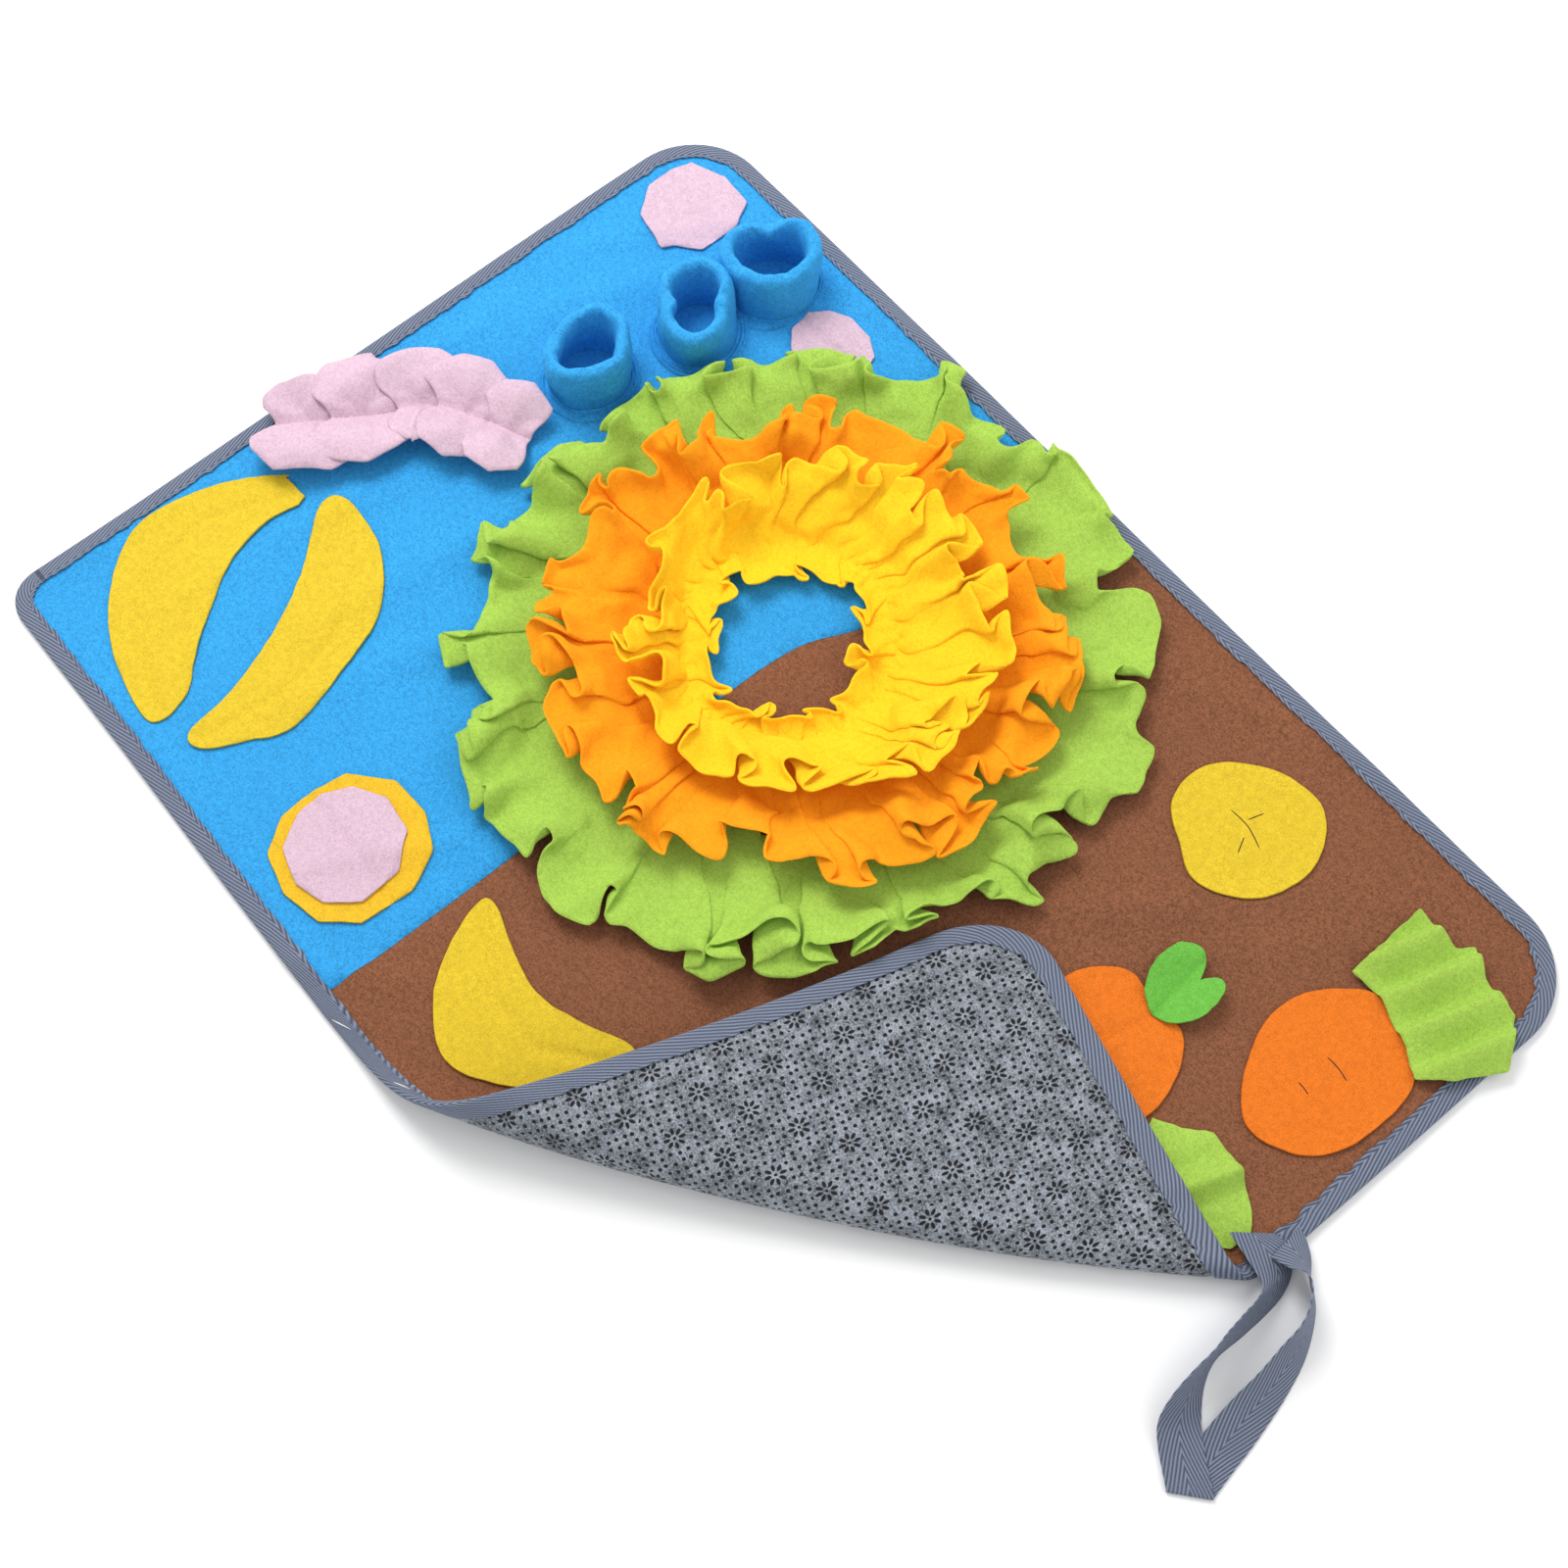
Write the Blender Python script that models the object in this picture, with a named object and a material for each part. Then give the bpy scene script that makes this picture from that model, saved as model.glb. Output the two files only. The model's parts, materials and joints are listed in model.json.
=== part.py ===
"""A snuffle mat for a dog, lying on a floor with one corner folded over.

Metres, +Z up. X runs along the long side and Y along the short side of the flat mat, and the origin
is at its middle, on the floor. A sheet is drawn flat, as it was cut, and then laid: lay() rolls the
corner at +X -Y over onto the top, and rise() lifts a sheet onto the binding at its edge.
"""
import math
import random

import bmesh
import bpy
from mathutils import Vector
from mathutils.geometry import delaunay_2d_cdt

# The cut mat.
LENGTH = 1.0
WIDTH = 0.7
CORNERS = (  # x side, y side, radius; anticlockwise from -X -Y
    (-1, -1, 0.030),
    (1, -1, 0.065),
    (1, 1, 0.065),
    (-1, 1, 0.065),
)
CORNER_STEPS = 6

# The layers, from the floor up.
BACKING = 0.0012
FLEECE = 0.0015
TAPE = 0.0010
GAP = 0.0004
TOP_FLOOR = BACKING + GAP
PATCH_FLOOR = TOP_FLOOR + FLEECE + GAP
SECOND_PATCH_FLOOR = PATCH_FLOOR + FLEECE + GAP
EDGE_RISE = TAPE + GAP
EDGE_HEIGHT = EDGE_RISE + TOP_FLOOR + FLEECE + GAP + TAPE
DRAPE_CLEARANCE = 0.002

# The binding: a woven tape folded round the edge.
BINDING_WIDTH = 0.0145
BINDING_WAVER = 0.0011
BINDING_BLEND = 0.060
BINDING_CHAMFER = (0.0009, 0.0012)  # inward, upward
RIM_STEP = 0.030
SHEET_INSET = TAPE + GAP
RAMP_START = BINDING_WIDTH + BINDING_WAVER + GAP
RAMP_END = RAMP_START + 0.004

# The folded corner: the fold runs from a point on the -Y side to a point on the +X side.
FOLD_START = Vector((-0.056, -WIDTH / 2))
FOLD_END = Vector((LENGTH / 2, 0.039))
FOLD_RADII = (0.0400, 0.0177, 0.0120)  # at the start, the middle and the end
FOLD_BOW = 0.036
FLAP_SLOPE = 0.067
FLAP_HEIGHT = 0.0143
FLAP_EASE = 0.20
BEND_STEP = math.radians(12)
FOLD_COLUMNS = 16
FLAP_ROW = 0.060
FOLD_SKEW = 0.25
RIM_SAMPLE = 0.0005
SHARE_STEP = 0.001

# The seam between the blue and the brown fleece, as points across the mat.
SEAM = ((-0.067, -0.36), (-0.067, 0.06), (-0.062, 0.10), (-0.047, 0.128), (0.040, 0.36))
SEAM_GAP = 0.0004

# The three gathered rings.
RING_CENTRE = (-0.058, 0.091)
RUFFLE = 0.0020
FOLD_STATIONS = 6
RUFFLES = (  # name, material, folds, seed, x and y shift of the sewn line, pinch, lean
    ("ruffle_green", "green fleece", 24, 5, 0.000, 0.000, 0.060, 0.10),
    ("ruffle_orange", "orange fleece", 20, 11, -0.008, 0.000, 0.075, 0.12),
    ("ruffle_yellow", "yellow fleece", 15, 23, -0.020, -0.003, 0.075, 0.12),
)
RUFFLE_ROWS = {  # radius, lowest and highest middle of the cloth, from the sewn line out
    "ruffle_green": (
        (0.165, 0.0049, 0.0075), (0.198, 0.0060, 0.0100), (0.232, 0.0072, 0.0210),
        (0.262, 0.0072, 0.0280),
    ),
    "ruffle_orange": (
        (0.125, 0.0049, 0.0105), (0.156, 0.0110, 0.0200), (0.187, 0.0150, 0.0350),
        (0.213, 0.0215, 0.0420),
    ),
    "ruffle_yellow": (
        (0.076, 0.0049, 0.0130), (0.104, 0.0140, 0.0310), (0.130, 0.0175, 0.0410),
        (0.153, 0.0255, 0.0460),
    ),
}
RUFFLE_CLEARANCE = 0.006
RUFFLE_LEAST_REACH = 0.7
RUFFLE_REACH_STEP = 0.002
RUFFLE_CROWDING = 0.030
FOLD_VARIATION = {  # least and most of each over the folds
    "width": (0.75, 1.25),
    "height": (0.62, 1.0),
    "valley": (0.0, 0.16),
    "pinch": (0.4, 1.15),
    "lean": (-1.0, 1.0),
    "reach": (-0.006, 0.004),
}

# The pockets: cuffs of fleece with a rolled rim.
POCKETS = (  # name, x, y, radius, lean x, lean y, long axis, stretch, corner turn, corners
    ("pocket_1", -0.3560, 0.1180, 0.0310, 0.000, 0.004, 15, 0.06, 100, 0.09),
    ("pocket_2", -0.3330, 0.2110, 0.0315, 0.000, -0.003, 60, 0.10, 210, 0.05),
    ("pocket_3", -0.3270, 0.2840, 0.0325, -0.002, 0.003, 75, 0.08, 330, 0.10),
)
POCKET_SECTION = (  # outward of the base line, height: up the outside, over the rim, down inside
    (0.0000, PATCH_FLOOR), (0.0028, 0.0150), (0.0026, 0.0330), (-0.0020, 0.0430),
    (-0.0085, 0.0375), (-0.0050, 0.0270), (-0.0022, 0.0140), (-0.0042, PATCH_FLOOR),
)
POCKET_SIDES = 20
POCKET_BASE_DRAW = 0.35

# The row of pinched discs: they overlap like shingles along a line sewn from the edge to the rings.
PETAL_LINE = (
    (-0.487, -0.108), (-0.466, -0.079), (-0.437, -0.034), (-0.419, 0.000), (-0.378, 0.026),
    (-0.330, 0.049),
)
PETALS = (  # name, start and end along the line, reach to its left and right, level as far as
    ("petal_1", -0.002, 0.096, 0.031, 0.048, 0.030),
    ("petal_2", 0.034, 0.129, 0.050, 0.048, 0.034),
    ("petal_3", 0.086, 0.164, 0.046, 0.044, 0.086),
    ("petal_4", 0.122, 0.202, 0.042, 0.042, 0.122),
    ("petal_5", 0.170, 0.229, 0.040, 0.036, 0.170),
)
PETAL_THICKNESS = 0.0016
PETAL_DOME = 0.0100
PETAL_DOME_REACH = 0.030
PETAL_DOME_END = 1.62
PETAL_SLOPE = 0.100
PETAL_FLOOR = 0.0042
PETAL_SIDES = 14
PETAL_ROWS = 8
PETAL_COLUMN = 0.010
PETAL_MARGIN = 0.004

# The flat pieces sewn on, each an outline in millimetres.
ROUND, CUT = True, False
PATCHES = (  # name, material, lowest height, how its corners are cut, outline
    ("banana_1", "yellow felt", PATCH_FLOOR, ROUND, (
        (-443, -119), (-466, -155), (-478, -200), (-476, -240), (-452, -276), (-405, -308),
        (-345, -322), (-327, -315), (-333, -286), (-362, -256), (-399, -210), (-416, -170),
        (-417, -128), (-428, -116),
    )),
    ("banana_2", "yellow felt", PATCH_FLOOR, ROUND, (
        (-400, -112), (-388, -95), (-340, -100), (-298, -128), (-274, -175), (-257, -238),
        (-270, -272), (-287, -303), (-304, -302), (-312, -258), (-333, -203), (-362, -158),
    )),
    ("banana_3", "yellow felt", PATCH_FLOOR, ROUND, (
        (-53, -213), (-40, -208), (-12, -217), (30, -224), (72, -211), (104, -196), (117, -206),
        (106, -240), (68, -282), (28, -302), (-12, -284), (-40, -250),
    )),
    ("coin_yellow", "amber felt", PATCH_FLOOR, CUT, (
        (-204, -262), (-199, -231), (-171, -206), (-136, -204), (-107, -217), (-92, -247),
        (-95, -289), (-116, -313), (-150, -320), (-184, -312), (-202, -287),
    )),
    ("coin_pink", "pink fleece", SECOND_PATCH_FLOOR, CUT, (
        (-197, -256), (-187, -233), (-163, -219), (-131, -223), (-110, -246), (-107, -280),
        (-125, -302), (-150, -309), (-179, -301), (-195, -277),
    )),
    ("pink_disc_1", "pink fleece", PATCH_FLOOR, CUT, (
        (-470, 313), (-440, 325), (-408, 322), (-395, 300), (-394, 264), (-412, 250),
        (-418, 240), (-455, 248), (-475, 272), (-476, 296),
    )),
    ("pink_disc_2", "pink fleece", PATCH_FLOOR, CUT, (
        (-289, 290), (-279, 304), (-262, 313), (-238, 312), (-221, 303), (-214, 284),
        (-222, 266), (-242, 256), (-270, 257), (-285, 270),
    )),
    ("lemon", "yellow felt", PATCH_FLOOR, ROUND, (
        (226, 280), (250, 295), (284, 298), (306, 279), (316, 250), (308, 215), (286, 194),
        (262, 189), (238, 201), (213, 217), (205, 244), (212, 266),
    )),
    ("pumpkin", "orange felt", PATCH_FLOOR, ROUND, (
        (262, 68), (270, 90), (288, 106), (306, 104), (318, 97), (340, 104), (358, 88),
        (370, 58), (368, 22), (348, -4), (316, -12), (284, 0), (266, 30),
    )),
    ("carrot", "orange felt", PATCH_FLOOR, ROUND, (
        (378, 188), (395, 214), (414, 227), (450, 219), (472, 198), (477, 165), (472, 128),
        (455, 104), (424, 91), (400, 106), (381, 136), (374, 162),
    )),
)
ROUND_STEPS = 3

# Light pieces that stand off the mat, each an outline in millimetres.
PUMPKIN_LEAF = (
    (322, 95), (303, 105), (294, 124), (296, 145), (307, 154), (320, 144), (324, 138),
    (334, 149), (344, 138), (345, 118), (336, 102),
)
CARROT_TOP = (
    (388, 224), (386, 292), (422, 291), (430, 303), (452, 290), (482, 286), (494, 272),
    (507, 254), (488, 220), (470, 201), (449, 214), (411, 226),
)
CARROT_TOP_ROOT = ((0.388, 0.226), (0.471, 0.203))
TURNIP_LEAF = (
    (374, 46), (392, 56), (408, 70), (440, 67), (464, 54), (476, 42), (474, 26), (452, 6),
    (420, -6), (392, 8),
)
LEAF_GRID = 0.011
PUMPKIN_STALK = (0.322, 0.095)
PUMPKIN_LEAF_RISES = (0.10, 0.12, 0.06)  # skew of its crease, slope aside and slope away
CARROT_PLEATS = 2.6
CARROT_PLEAT_HEIGHT = 0.0065
CARROT_PLEAT_REACH = (-0.010, 0.030)
CARROT_LIFT = (0.440, 0.480)
TURNIP_CREASE = (0.425, 0.030, 0.8, 0.6)  # a point of it, and the direction across it
TURNIP_PLEAT = (0.0040, 0.012)  # height and half width
TURNIP_FADE = (0.470, 0.440)

# The strap: a loop of woven tape, sewn on at the middle of the short side.
STRAP_WIDTH = 0.030
STRAP_THICKNESS = 0.0013
STRAP_RUN_OUT = (  # x, y, height of the lower edge (mm), turn of the width, its tilt (degrees)
    (475, 42, 7.8, 50, 8), (491, 41, 8.0, 74, 8), (506, 36, 5.6, 88, 18), (513, 22, 1.0, 70, 42),
    (515, 6, 0.0, 60, 54), (516, -12, 0.0, 56, 64), (517, -31, 0.0, 46, 79), (520, -49, 0.0, 50, 66),
    (526, -66, 0.4, 50, 42), (535, -80, 1.4, 50, 14), (550, -91, 1.8, 46, 0),
)
STRAP_CREASE = (570, -103, 41)  # x, y, turn
STRAP_RUN_BACK = (
    (563, -72, 0.0, 22, 0), (558, -40, 0.0, 14, 24), (555, -18, 0.0, 12, 40), (550, 5, 0.0, 16, 52),
    (544, 24, 0.0, 30, 68), (534, 40, 0.0, 46, 76), (521, 49, 1.2, 68, 78), (508, 53, 7.4, 96, 40),
    (494, 55, 8.2, 95, 8),
)
STRAP_STEPS = 3
STRAP_LIFT = 0.0001
CREASE_STEPS = 4
CREASE_SKEW = math.radians(14)

COLOURS = {  # colour and roughness
    "grey felt": ((0.22, 0.24, 0.28), 0.9),
    "blue fleece": ((0.04, 0.33, 0.82), 0.95),
    "brown fleece": ((0.21, 0.085, 0.04), 0.95),
    "grey tape": ((0.16, 0.20, 0.30), 0.8),
    "green fleece": ((0.33, 0.60, 0.06), 0.95),
    "orange fleece": ((1.0, 0.33, 0.01), 0.95),
    "yellow fleece": ((1.0, 0.55, 0.02), 0.95),
    "pink fleece": ((0.86, 0.56, 0.70), 0.95),
    "yellow felt": ((0.92, 0.68, 0.03), 0.9),
    "amber felt": ((1.0, 0.58, 0.02), 0.9),
    "orange felt": ((1.0, 0.18, 0.01), 0.9),
    "leaf felt": ((0.08, 0.58, 0.08), 0.9),
}


def clear_scene():
    for item in list(bpy.data.objects):
        bpy.data.objects.remove(item)


def new_collection(name):
    collection = bpy.data.collections.new(name)
    bpy.context.scene.collection.children.link(collection)
    return collection


def material(name):
    """The material of that name, made on its first use."""
    found = bpy.data.materials.get(name)
    if found:
        return found
    made = bpy.data.materials.new(name)
    made.use_nodes = True
    colour, roughness = COLOURS[name]
    shader = made.node_tree.nodes["Principled BSDF"]
    shader.inputs["Base Color"].default_value = (*colour, 1.0)
    shader.inputs["Roughness"].default_value = roughness
    shader.inputs["Metallic"].default_value = 0.0
    return made


def add_object(collection, name, data, material_name):
    made = bpy.data.objects.new(name, data)
    made.data.materials.append(material(material_name))
    collection.objects.link(made)
    return made


def add_mesh(collection, name, verts, faces, material_name):
    """A closed mesh object, with its faces turned outward."""
    mesh = bpy.data.meshes.new(name)
    mesh.from_pydata(verts, [], faces)
    work = bmesh.new()
    work.from_mesh(mesh)
    bmesh.ops.triangulate(work, faces=work.faces[:], quad_method="SHORT_EDGE")
    bmesh.ops.recalc_face_normals(work, faces=work.faces[:])
    work.to_mesh(mesh)
    work.free()
    mesh.shade_smooth()
    mesh.set_sharp_from_angle(angle=math.radians(40))
    return add_object(collection, name, mesh, material_name)


# Curves and outlines.


def mix(low, high, share):
    return low + (high - low) * share


def ramp(value, start, end):
    return (value - start) / (end - start)


def smooth(share):
    share = min(max(share, 0.0), 1.0)
    return share * share * (3 - 2 * share)


def catmull(before, start, end, after, share):
    """The point at that share of the way from start to end, on a curve through all four."""
    return tuple(
        0.5 * (2 * b + (c - a) * share + (2 * a - 5 * b + 4 * c - d) * share**2
               + (3 * b - a - 3 * c + d) * share**3)
        for a, b, c, d in zip(before, start, end, after)
    )


def through(points, steps, closed):
    """A smooth curve through the points, with that many steps between two of them."""
    count = len(points)
    curve = []
    for i in range(count if closed else count - 1):
        near = [(i + k) % count if closed else min(max(i + k, 0), count - 1) for k in (-1, 0, 1, 2)]
        for step in range(steps):
            curve.append(catmull(*(points[n] for n in near), step / steps))
    if not closed:
        curve.append(tuple(points[-1]))
    return curve


def inside(point, outline):
    """Whether the point is inside the closed outline."""
    x, y = point
    odd = False
    for (ax, ay), (bx, by) in zip(outline, outline[1:] + outline[:1]):
        if (ay > y) != (by > y) and x < ax + (y - ay) / (by - ay) * (bx - ax):
            odd = not odd
    return odd


def distance(point, outline):
    """How far the point is from the closed outline's line."""
    nearest = math.inf
    here = Vector(point)
    for a, b in zip(outline, outline[1:] + outline[:1]):
        start = Vector(a)
        along = Vector(b) - start
        share = max(0.0, min(1.0, (here - start).dot(along) / max(along.length_squared, 1e-12)))
        nearest = min(nearest, (here - start - along * share).length)
    return nearest


# The lie of the mat.


def fold_frame(u, v):
    """(along the fold, beyond it, share of the way along it) of a point of the flat mat."""
    line = FOLD_END - FOLD_START
    along = (Vector((u, v)) - FOLD_START).dot(line.normalized())
    beyond = (Vector((u, v)) - FOLD_START).dot(fold_outward())
    return along, beyond, min(max(along / line.length, 0.0), 1.0)


def fold_outward():
    line = (FOLD_END - FOLD_START).normalized()
    return Vector((line.y, -line.x))


def bow(share):
    return FOLD_BOW * 4 * share * (1 - share)


def bend_radius(share):
    """The fold is widest at its start: a curve through the three radii."""
    first, middle, last = FOLD_RADII
    return (first * (1 - share) * (1 - 2 * share) + middle * 4 * share * (1 - share)
            + last * share * (2 * share - 1))


def straight_run(radius):
    """How far the flap runs down straight before it levels off."""
    up = radius * (1 - math.cos(math.pi + FLAP_SLOPE))
    ease = FLAP_EASE * (1 - math.cos(FLAP_SLOPE))
    return max(up - FLAP_HEIGHT - ease, 0.0) / math.sin(FLAP_SLOPE)


def zone_ends(radius):
    """The reach at which the bend starts and ends, and at which the flap starts and ends levelling."""
    bend = radius * (math.pi + FLAP_SLOPE)
    run = bend + straight_run(radius)
    return 0.0, bend, run, run + FLAP_EASE * FLAP_SLOPE


def rolled(reach, radius):
    """(outward, up, turn) of the mat's underside, that far round the fold."""
    start, bend, run, level = zone_ends(radius)
    if reach <= start:
        return reach, 0.0, 0.0
    turn = min(reach, bend) / radius
    outward = radius * math.sin(turn)
    up = radius * (1 - math.cos(turn))
    if reach <= bend:
        return outward, up, turn
    straight = min(reach, run) - bend
    outward -= straight * math.cos(FLAP_SLOPE)
    up -= straight * math.sin(FLAP_SLOPE)
    slope = FLAP_SLOPE - max(min(reach, level) - run, 0.0) / FLAP_EASE
    outward -= FLAP_EASE * (math.sin(FLAP_SLOPE) - math.sin(slope)) + max(reach - level, 0.0)
    up -= FLAP_EASE * (math.cos(slope) - math.cos(FLAP_SLOPE))
    return outward, up, math.pi + slope


def fold_turn(u, v):
    _, beyond, share = fold_frame(u, v)
    return rolled(beyond - bow(share), bend_radius(share))[2]


def fold_zone(u, v):
    """How many of the fold's zones end before this point."""
    _, beyond, share = fold_frame(u, v)
    return sum(beyond - bow(share) > end for end in zone_ends(bend_radius(share)))


def lay(u, v, height):
    """Where a point of the flat mat lies, that high above the mat's underside."""
    along, beyond, share = fold_frame(u, v)
    outward, up, turn = rolled(beyond - bow(share), bend_radius(share))
    outward += bow(share) - height * math.sin(turn)
    line = (FOLD_END - FOLD_START).normalized()
    flat = FOLD_START + line * along + fold_outward() * outward
    return (flat.x, flat.y, up + height * math.cos(turn))


def rim():
    """Points round the cut edge, anticlockwise, each with the direction into the mat."""
    arcs = []
    for x_side, y_side, radius in CORNERS:
        centre = Vector((x_side * (LENGTH / 2 - radius), y_side * (WIDTH / 2 - radius)))
        start = math.atan2(y_side, x_side) - math.pi / 4
        arc = []
        for step in range(CORNER_STEPS + 1):
            angle = start + math.pi / 2 * step / CORNER_STEPS
            out = Vector((math.cos(angle), math.sin(angle)))
            arc.append((centre + out * radius, -out))
        arcs.append(arc)
    return arcs


def ring_at(inset):
    """The flat mat's outline, that far in from its cut edge."""
    return [tuple(point + inward * inset) for arc in rim() for point, inward in arc]


def rim_stations(longest):
    """rim() with points added along the sides, closer together where the fold bends them."""
    arcs = rim()
    stations = []
    for arc, following in zip(arcs, arcs[1:] + arcs[:1]):
        stations += arc
        (start, inward), (end, _) = arc[-1], following[0]
        samples = round((end - start).length / RIM_SAMPLE)
        last = start
        for i in range(1, samples):
            point = start.lerp(end, i / samples)
            far = (point - last).length >= longest and (end - point).length > longest / 3
            bent = abs(fold_turn(*point) - fold_turn(*last)) >= BEND_STEP
            crossed = fold_zone(*point) != fold_zone(*start.lerp(end, (i - 1) / samples))
            if far or bent or crossed:
                stations.append((point, inward))
                last = point
    return stations


def fold_line(reach_of):
    """A line along the flat mat's fold, reach_of(radius) beyond where the bend starts."""
    line = FOLD_END - FOLD_START
    points = []
    for column in range(-1, FOLD_COLUMNS + 2):
        skew = FOLD_SKEW * reach_of(bend_radius(min(max(column / FOLD_COLUMNS, 0.0), 1.0)))
        along = line.length * column / FOLD_COLUMNS + skew
        share = min(max(along / line.length, 0.0), 1.0)
        beyond = reach_of(bend_radius(share)) + bow(share)
        points.append(tuple(FOLD_START + line.normalized() * along + fold_outward() * beyond))
    return points


def fold_lines():
    """The flat mat's creases: a line for each step of the bend, and lines over the flap."""
    steps = math.ceil((math.pi + FLAP_SLOPE) / BEND_STEP)
    lines = [fold_line(lambda radius, i=i: zone_ends(radius)[1] * i / steps)
             for i in range(steps + 1)]
    lines += [fold_line(lambda radius, i=i: zone_ends(radius)[1] + FLAP_ROW * i)
              for i in range(1, 5)]
    columns = [list(column) for column in zip(*lines)]
    levels = [fold_line(lambda radius, k=k: zone_ends(radius)[k]) for k in (2, 3)]
    return lines + columns + levels


def triangulated(lines, keep):
    """(points, triangles) of the flat sheet whose creases and outlines are the lines."""
    points = []
    edges = []
    for line, closed in lines:
        first = len(points)
        points += [Vector(p) for p in line]
        edges += [(first + i, first + i + 1) for i in range(len(line) - 1)]
        if closed:
            edges.append((first + len(line) - 1, first))
    made = delaunay_2d_cdt(points, edges, [], 0, 1e-6)
    verts = [tuple(v) for v in made[0]]
    faces = []
    for face in made[2]:
        middle = tuple(sum(verts[i][k] for i in face) / 3 for k in (0, 1))
        if keep(middle):
            faces.append(tuple(face))
    used = sorted({i for face in faces for i in face})
    where = {old: new for new, old in enumerate(used)}
    return [verts[i] for i in used], [tuple(where[i] for i in face) for face in faces]


def thick_sheet(collection, name, flat, lower, upper, material_name):
    """A closed sheet over the flat triangles: lower and upper give the place of each point."""
    points, triangles = flat
    count = len(points)
    verts = [lower(*p) for p in points] + [upper(*p) for p in points]
    faces = [face[::-1] for face in triangles]
    faces += [tuple(i + count for i in face) for face in triangles]
    edges = {}
    for face in triangles:
        for a, b in zip(face, face[1:] + face[:1]):
            if (b, a) in edges:
                del edges[b, a]
            else:
                edges[a, b] = True
    faces += [(a, b, b + count, a + count) for a, b in edges]
    return add_mesh(collection, name, verts, faces, material_name)


def edge_depth(u, v):
    """How far in from the cut edge a point of the flat mat is."""
    dx = LENGTH / 2 - abs(u)
    dy = WIDTH / 2 - abs(v)
    for x_side, y_side, radius in CORNERS:
        if u * x_side > 0 and v * y_side > 0 and dx < radius and dy < radius:
            return radius - math.hypot(radius - dx, radius - dy)
    return min(dx, dy)


def rise(u, v):
    """How far the sheets are lifted by the binding under them."""
    share = (edge_depth(u, v) - RAMP_START) / (RAMP_END - RAMP_START)
    return EDGE_RISE * (1 - min(max(share, 0.0), 1.0))


# The pieces of the mat.


def mat_sheet(collection, name, floor, thickness, material_name, seam_side):
    """A sheet of the mat, whole, or the part of it on one side of the seam (-1 or 1)."""
    lines = [(ring_at(inset), True) for inset in (SHEET_INSET, RAMP_START, RAMP_END)]
    lines += [(line, False) for line in fold_lines()]
    outline = ring_at(SHEET_INSET)
    if seam_side:
        shift = seam_side * SEAM_GAP / 2
        seam = [(x + shift, y) for x, y in SEAM]
        lines.append((seam, False))
        far = seam_side * LENGTH
        region = seam + [(far, SEAM[-1][1]), (far, SEAM[0][1])]
        flat = triangulated(lines, lambda p: inside(p, outline) and inside(p, region))
    else:
        flat = triangulated(lines, lambda p: inside(p, outline))

    def surface(height):
        return lambda u, v: lay(u, v, floor + rise(u, v) + height)

    thick_sheet(collection, name, flat, surface(0.0), surface(thickness), material_name)


def section_direction(point, inward):
    """The way from the cut edge into the mat: square to the edge, or along the fold where it bends."""
    _, beyond, share = fold_frame(*point)
    reach = beyond - bow(share)
    bend = zone_ends(bend_radius(share))[1]
    turn = min(max(reach, 0.0), bend) / bend_radius(share)
    line = FOLD_END - FOLD_START
    ahead, behind = share + SHARE_STEP, share - SHARE_STEP
    drift = (bend_radius(ahead) - bend_radius(behind)) * turn + bow(ahead) - bow(behind)
    fold = line.normalized() + fold_outward() * drift / (2 * SHARE_STEP * line.length)
    outside = max(-reach, reach - bend, 0.0)
    return inward.lerp(fold / fold.dot(inward), 1 - smooth(outside / BINDING_BLEND))


def binding(collection):
    """The tape's section, a C that opens into the mat, swept once round the edge."""
    stations = rim_stations(RIM_STEP)
    chamfer, corner = BINDING_CHAMFER
    chance = random.Random(3)
    verts = []
    for point, inward in stations:
        width = BINDING_WIDTH + chance.uniform(-BINDING_WAVER, BINDING_WAVER)
        low_width = BINDING_WIDTH + chance.uniform(-BINDING_WAVER, BINDING_WAVER)
        section = (
            (low_width, 0.0), (chamfer, 0.0), (0.0, corner), (0.0, EDGE_HEIGHT - corner),
            (chamfer, EDGE_HEIGHT), (width, EDGE_HEIGHT), (width, EDGE_HEIGHT - TAPE),
            (TAPE, EDGE_HEIGHT - TAPE), (TAPE, TAPE), (low_width, TAPE),
        )
        into = section_direction(point, inward)
        verts += [lay(*(point + into * inset), height) for inset, height in section]
    sides = len(section)
    count = len(stations)
    faces = []
    for i in range(count):
        after = (i + 1) % count
        for k in range(sides):
            follow = (k + 1) % sides
            faces.append((i * sides + k, after * sides + k, after * sides + follow,
                          i * sides + follow))
    add_mesh(collection, "binding", verts, faces, "grey tape")


# The gathered rings.


def flap_footprint():
    """The folded corner's outline, seen from above."""
    return [lay(*point, 0.0)[:2] for point, _ in rim_stations(RIM_STEP)
            if fold_turn(*point) > math.pi / 2]


def pocket_outline(row, outward):
    name, x, y, radius, _, _, axis, stretch, corner, corners = row
    points = []
    for i in range(POCKET_SIDES):
        angle = 2 * math.pi * i / POCKET_SIDES
        reach = radius * (1 + stretch * math.cos(2 * (angle - math.radians(axis)))
                          + corners * math.cos(3 * (angle - math.radians(corner)))) + outward
        points.append((x + reach * math.cos(angle), y + reach * math.sin(angle)))
    return points


def free_reach(centre, angle, widest, obstacles):
    """How far a ring's edge can reach in that direction before it meets what lies there."""
    reach = widest
    while reach > RUFFLE_LEAST_REACH * widest:
        point = (centre[0] + reach * math.cos(angle), centre[1] + reach * math.sin(angle))
        free = all(not inside(point, o) and distance(point, o) > RUFFLE_CLEARANCE for o in obstacles)
        if free and point[1] < WIDTH / 2 - RUFFLE_CLEARANCE:
            break
        reach -= RUFFLE_REACH_STEP
    return reach


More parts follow.
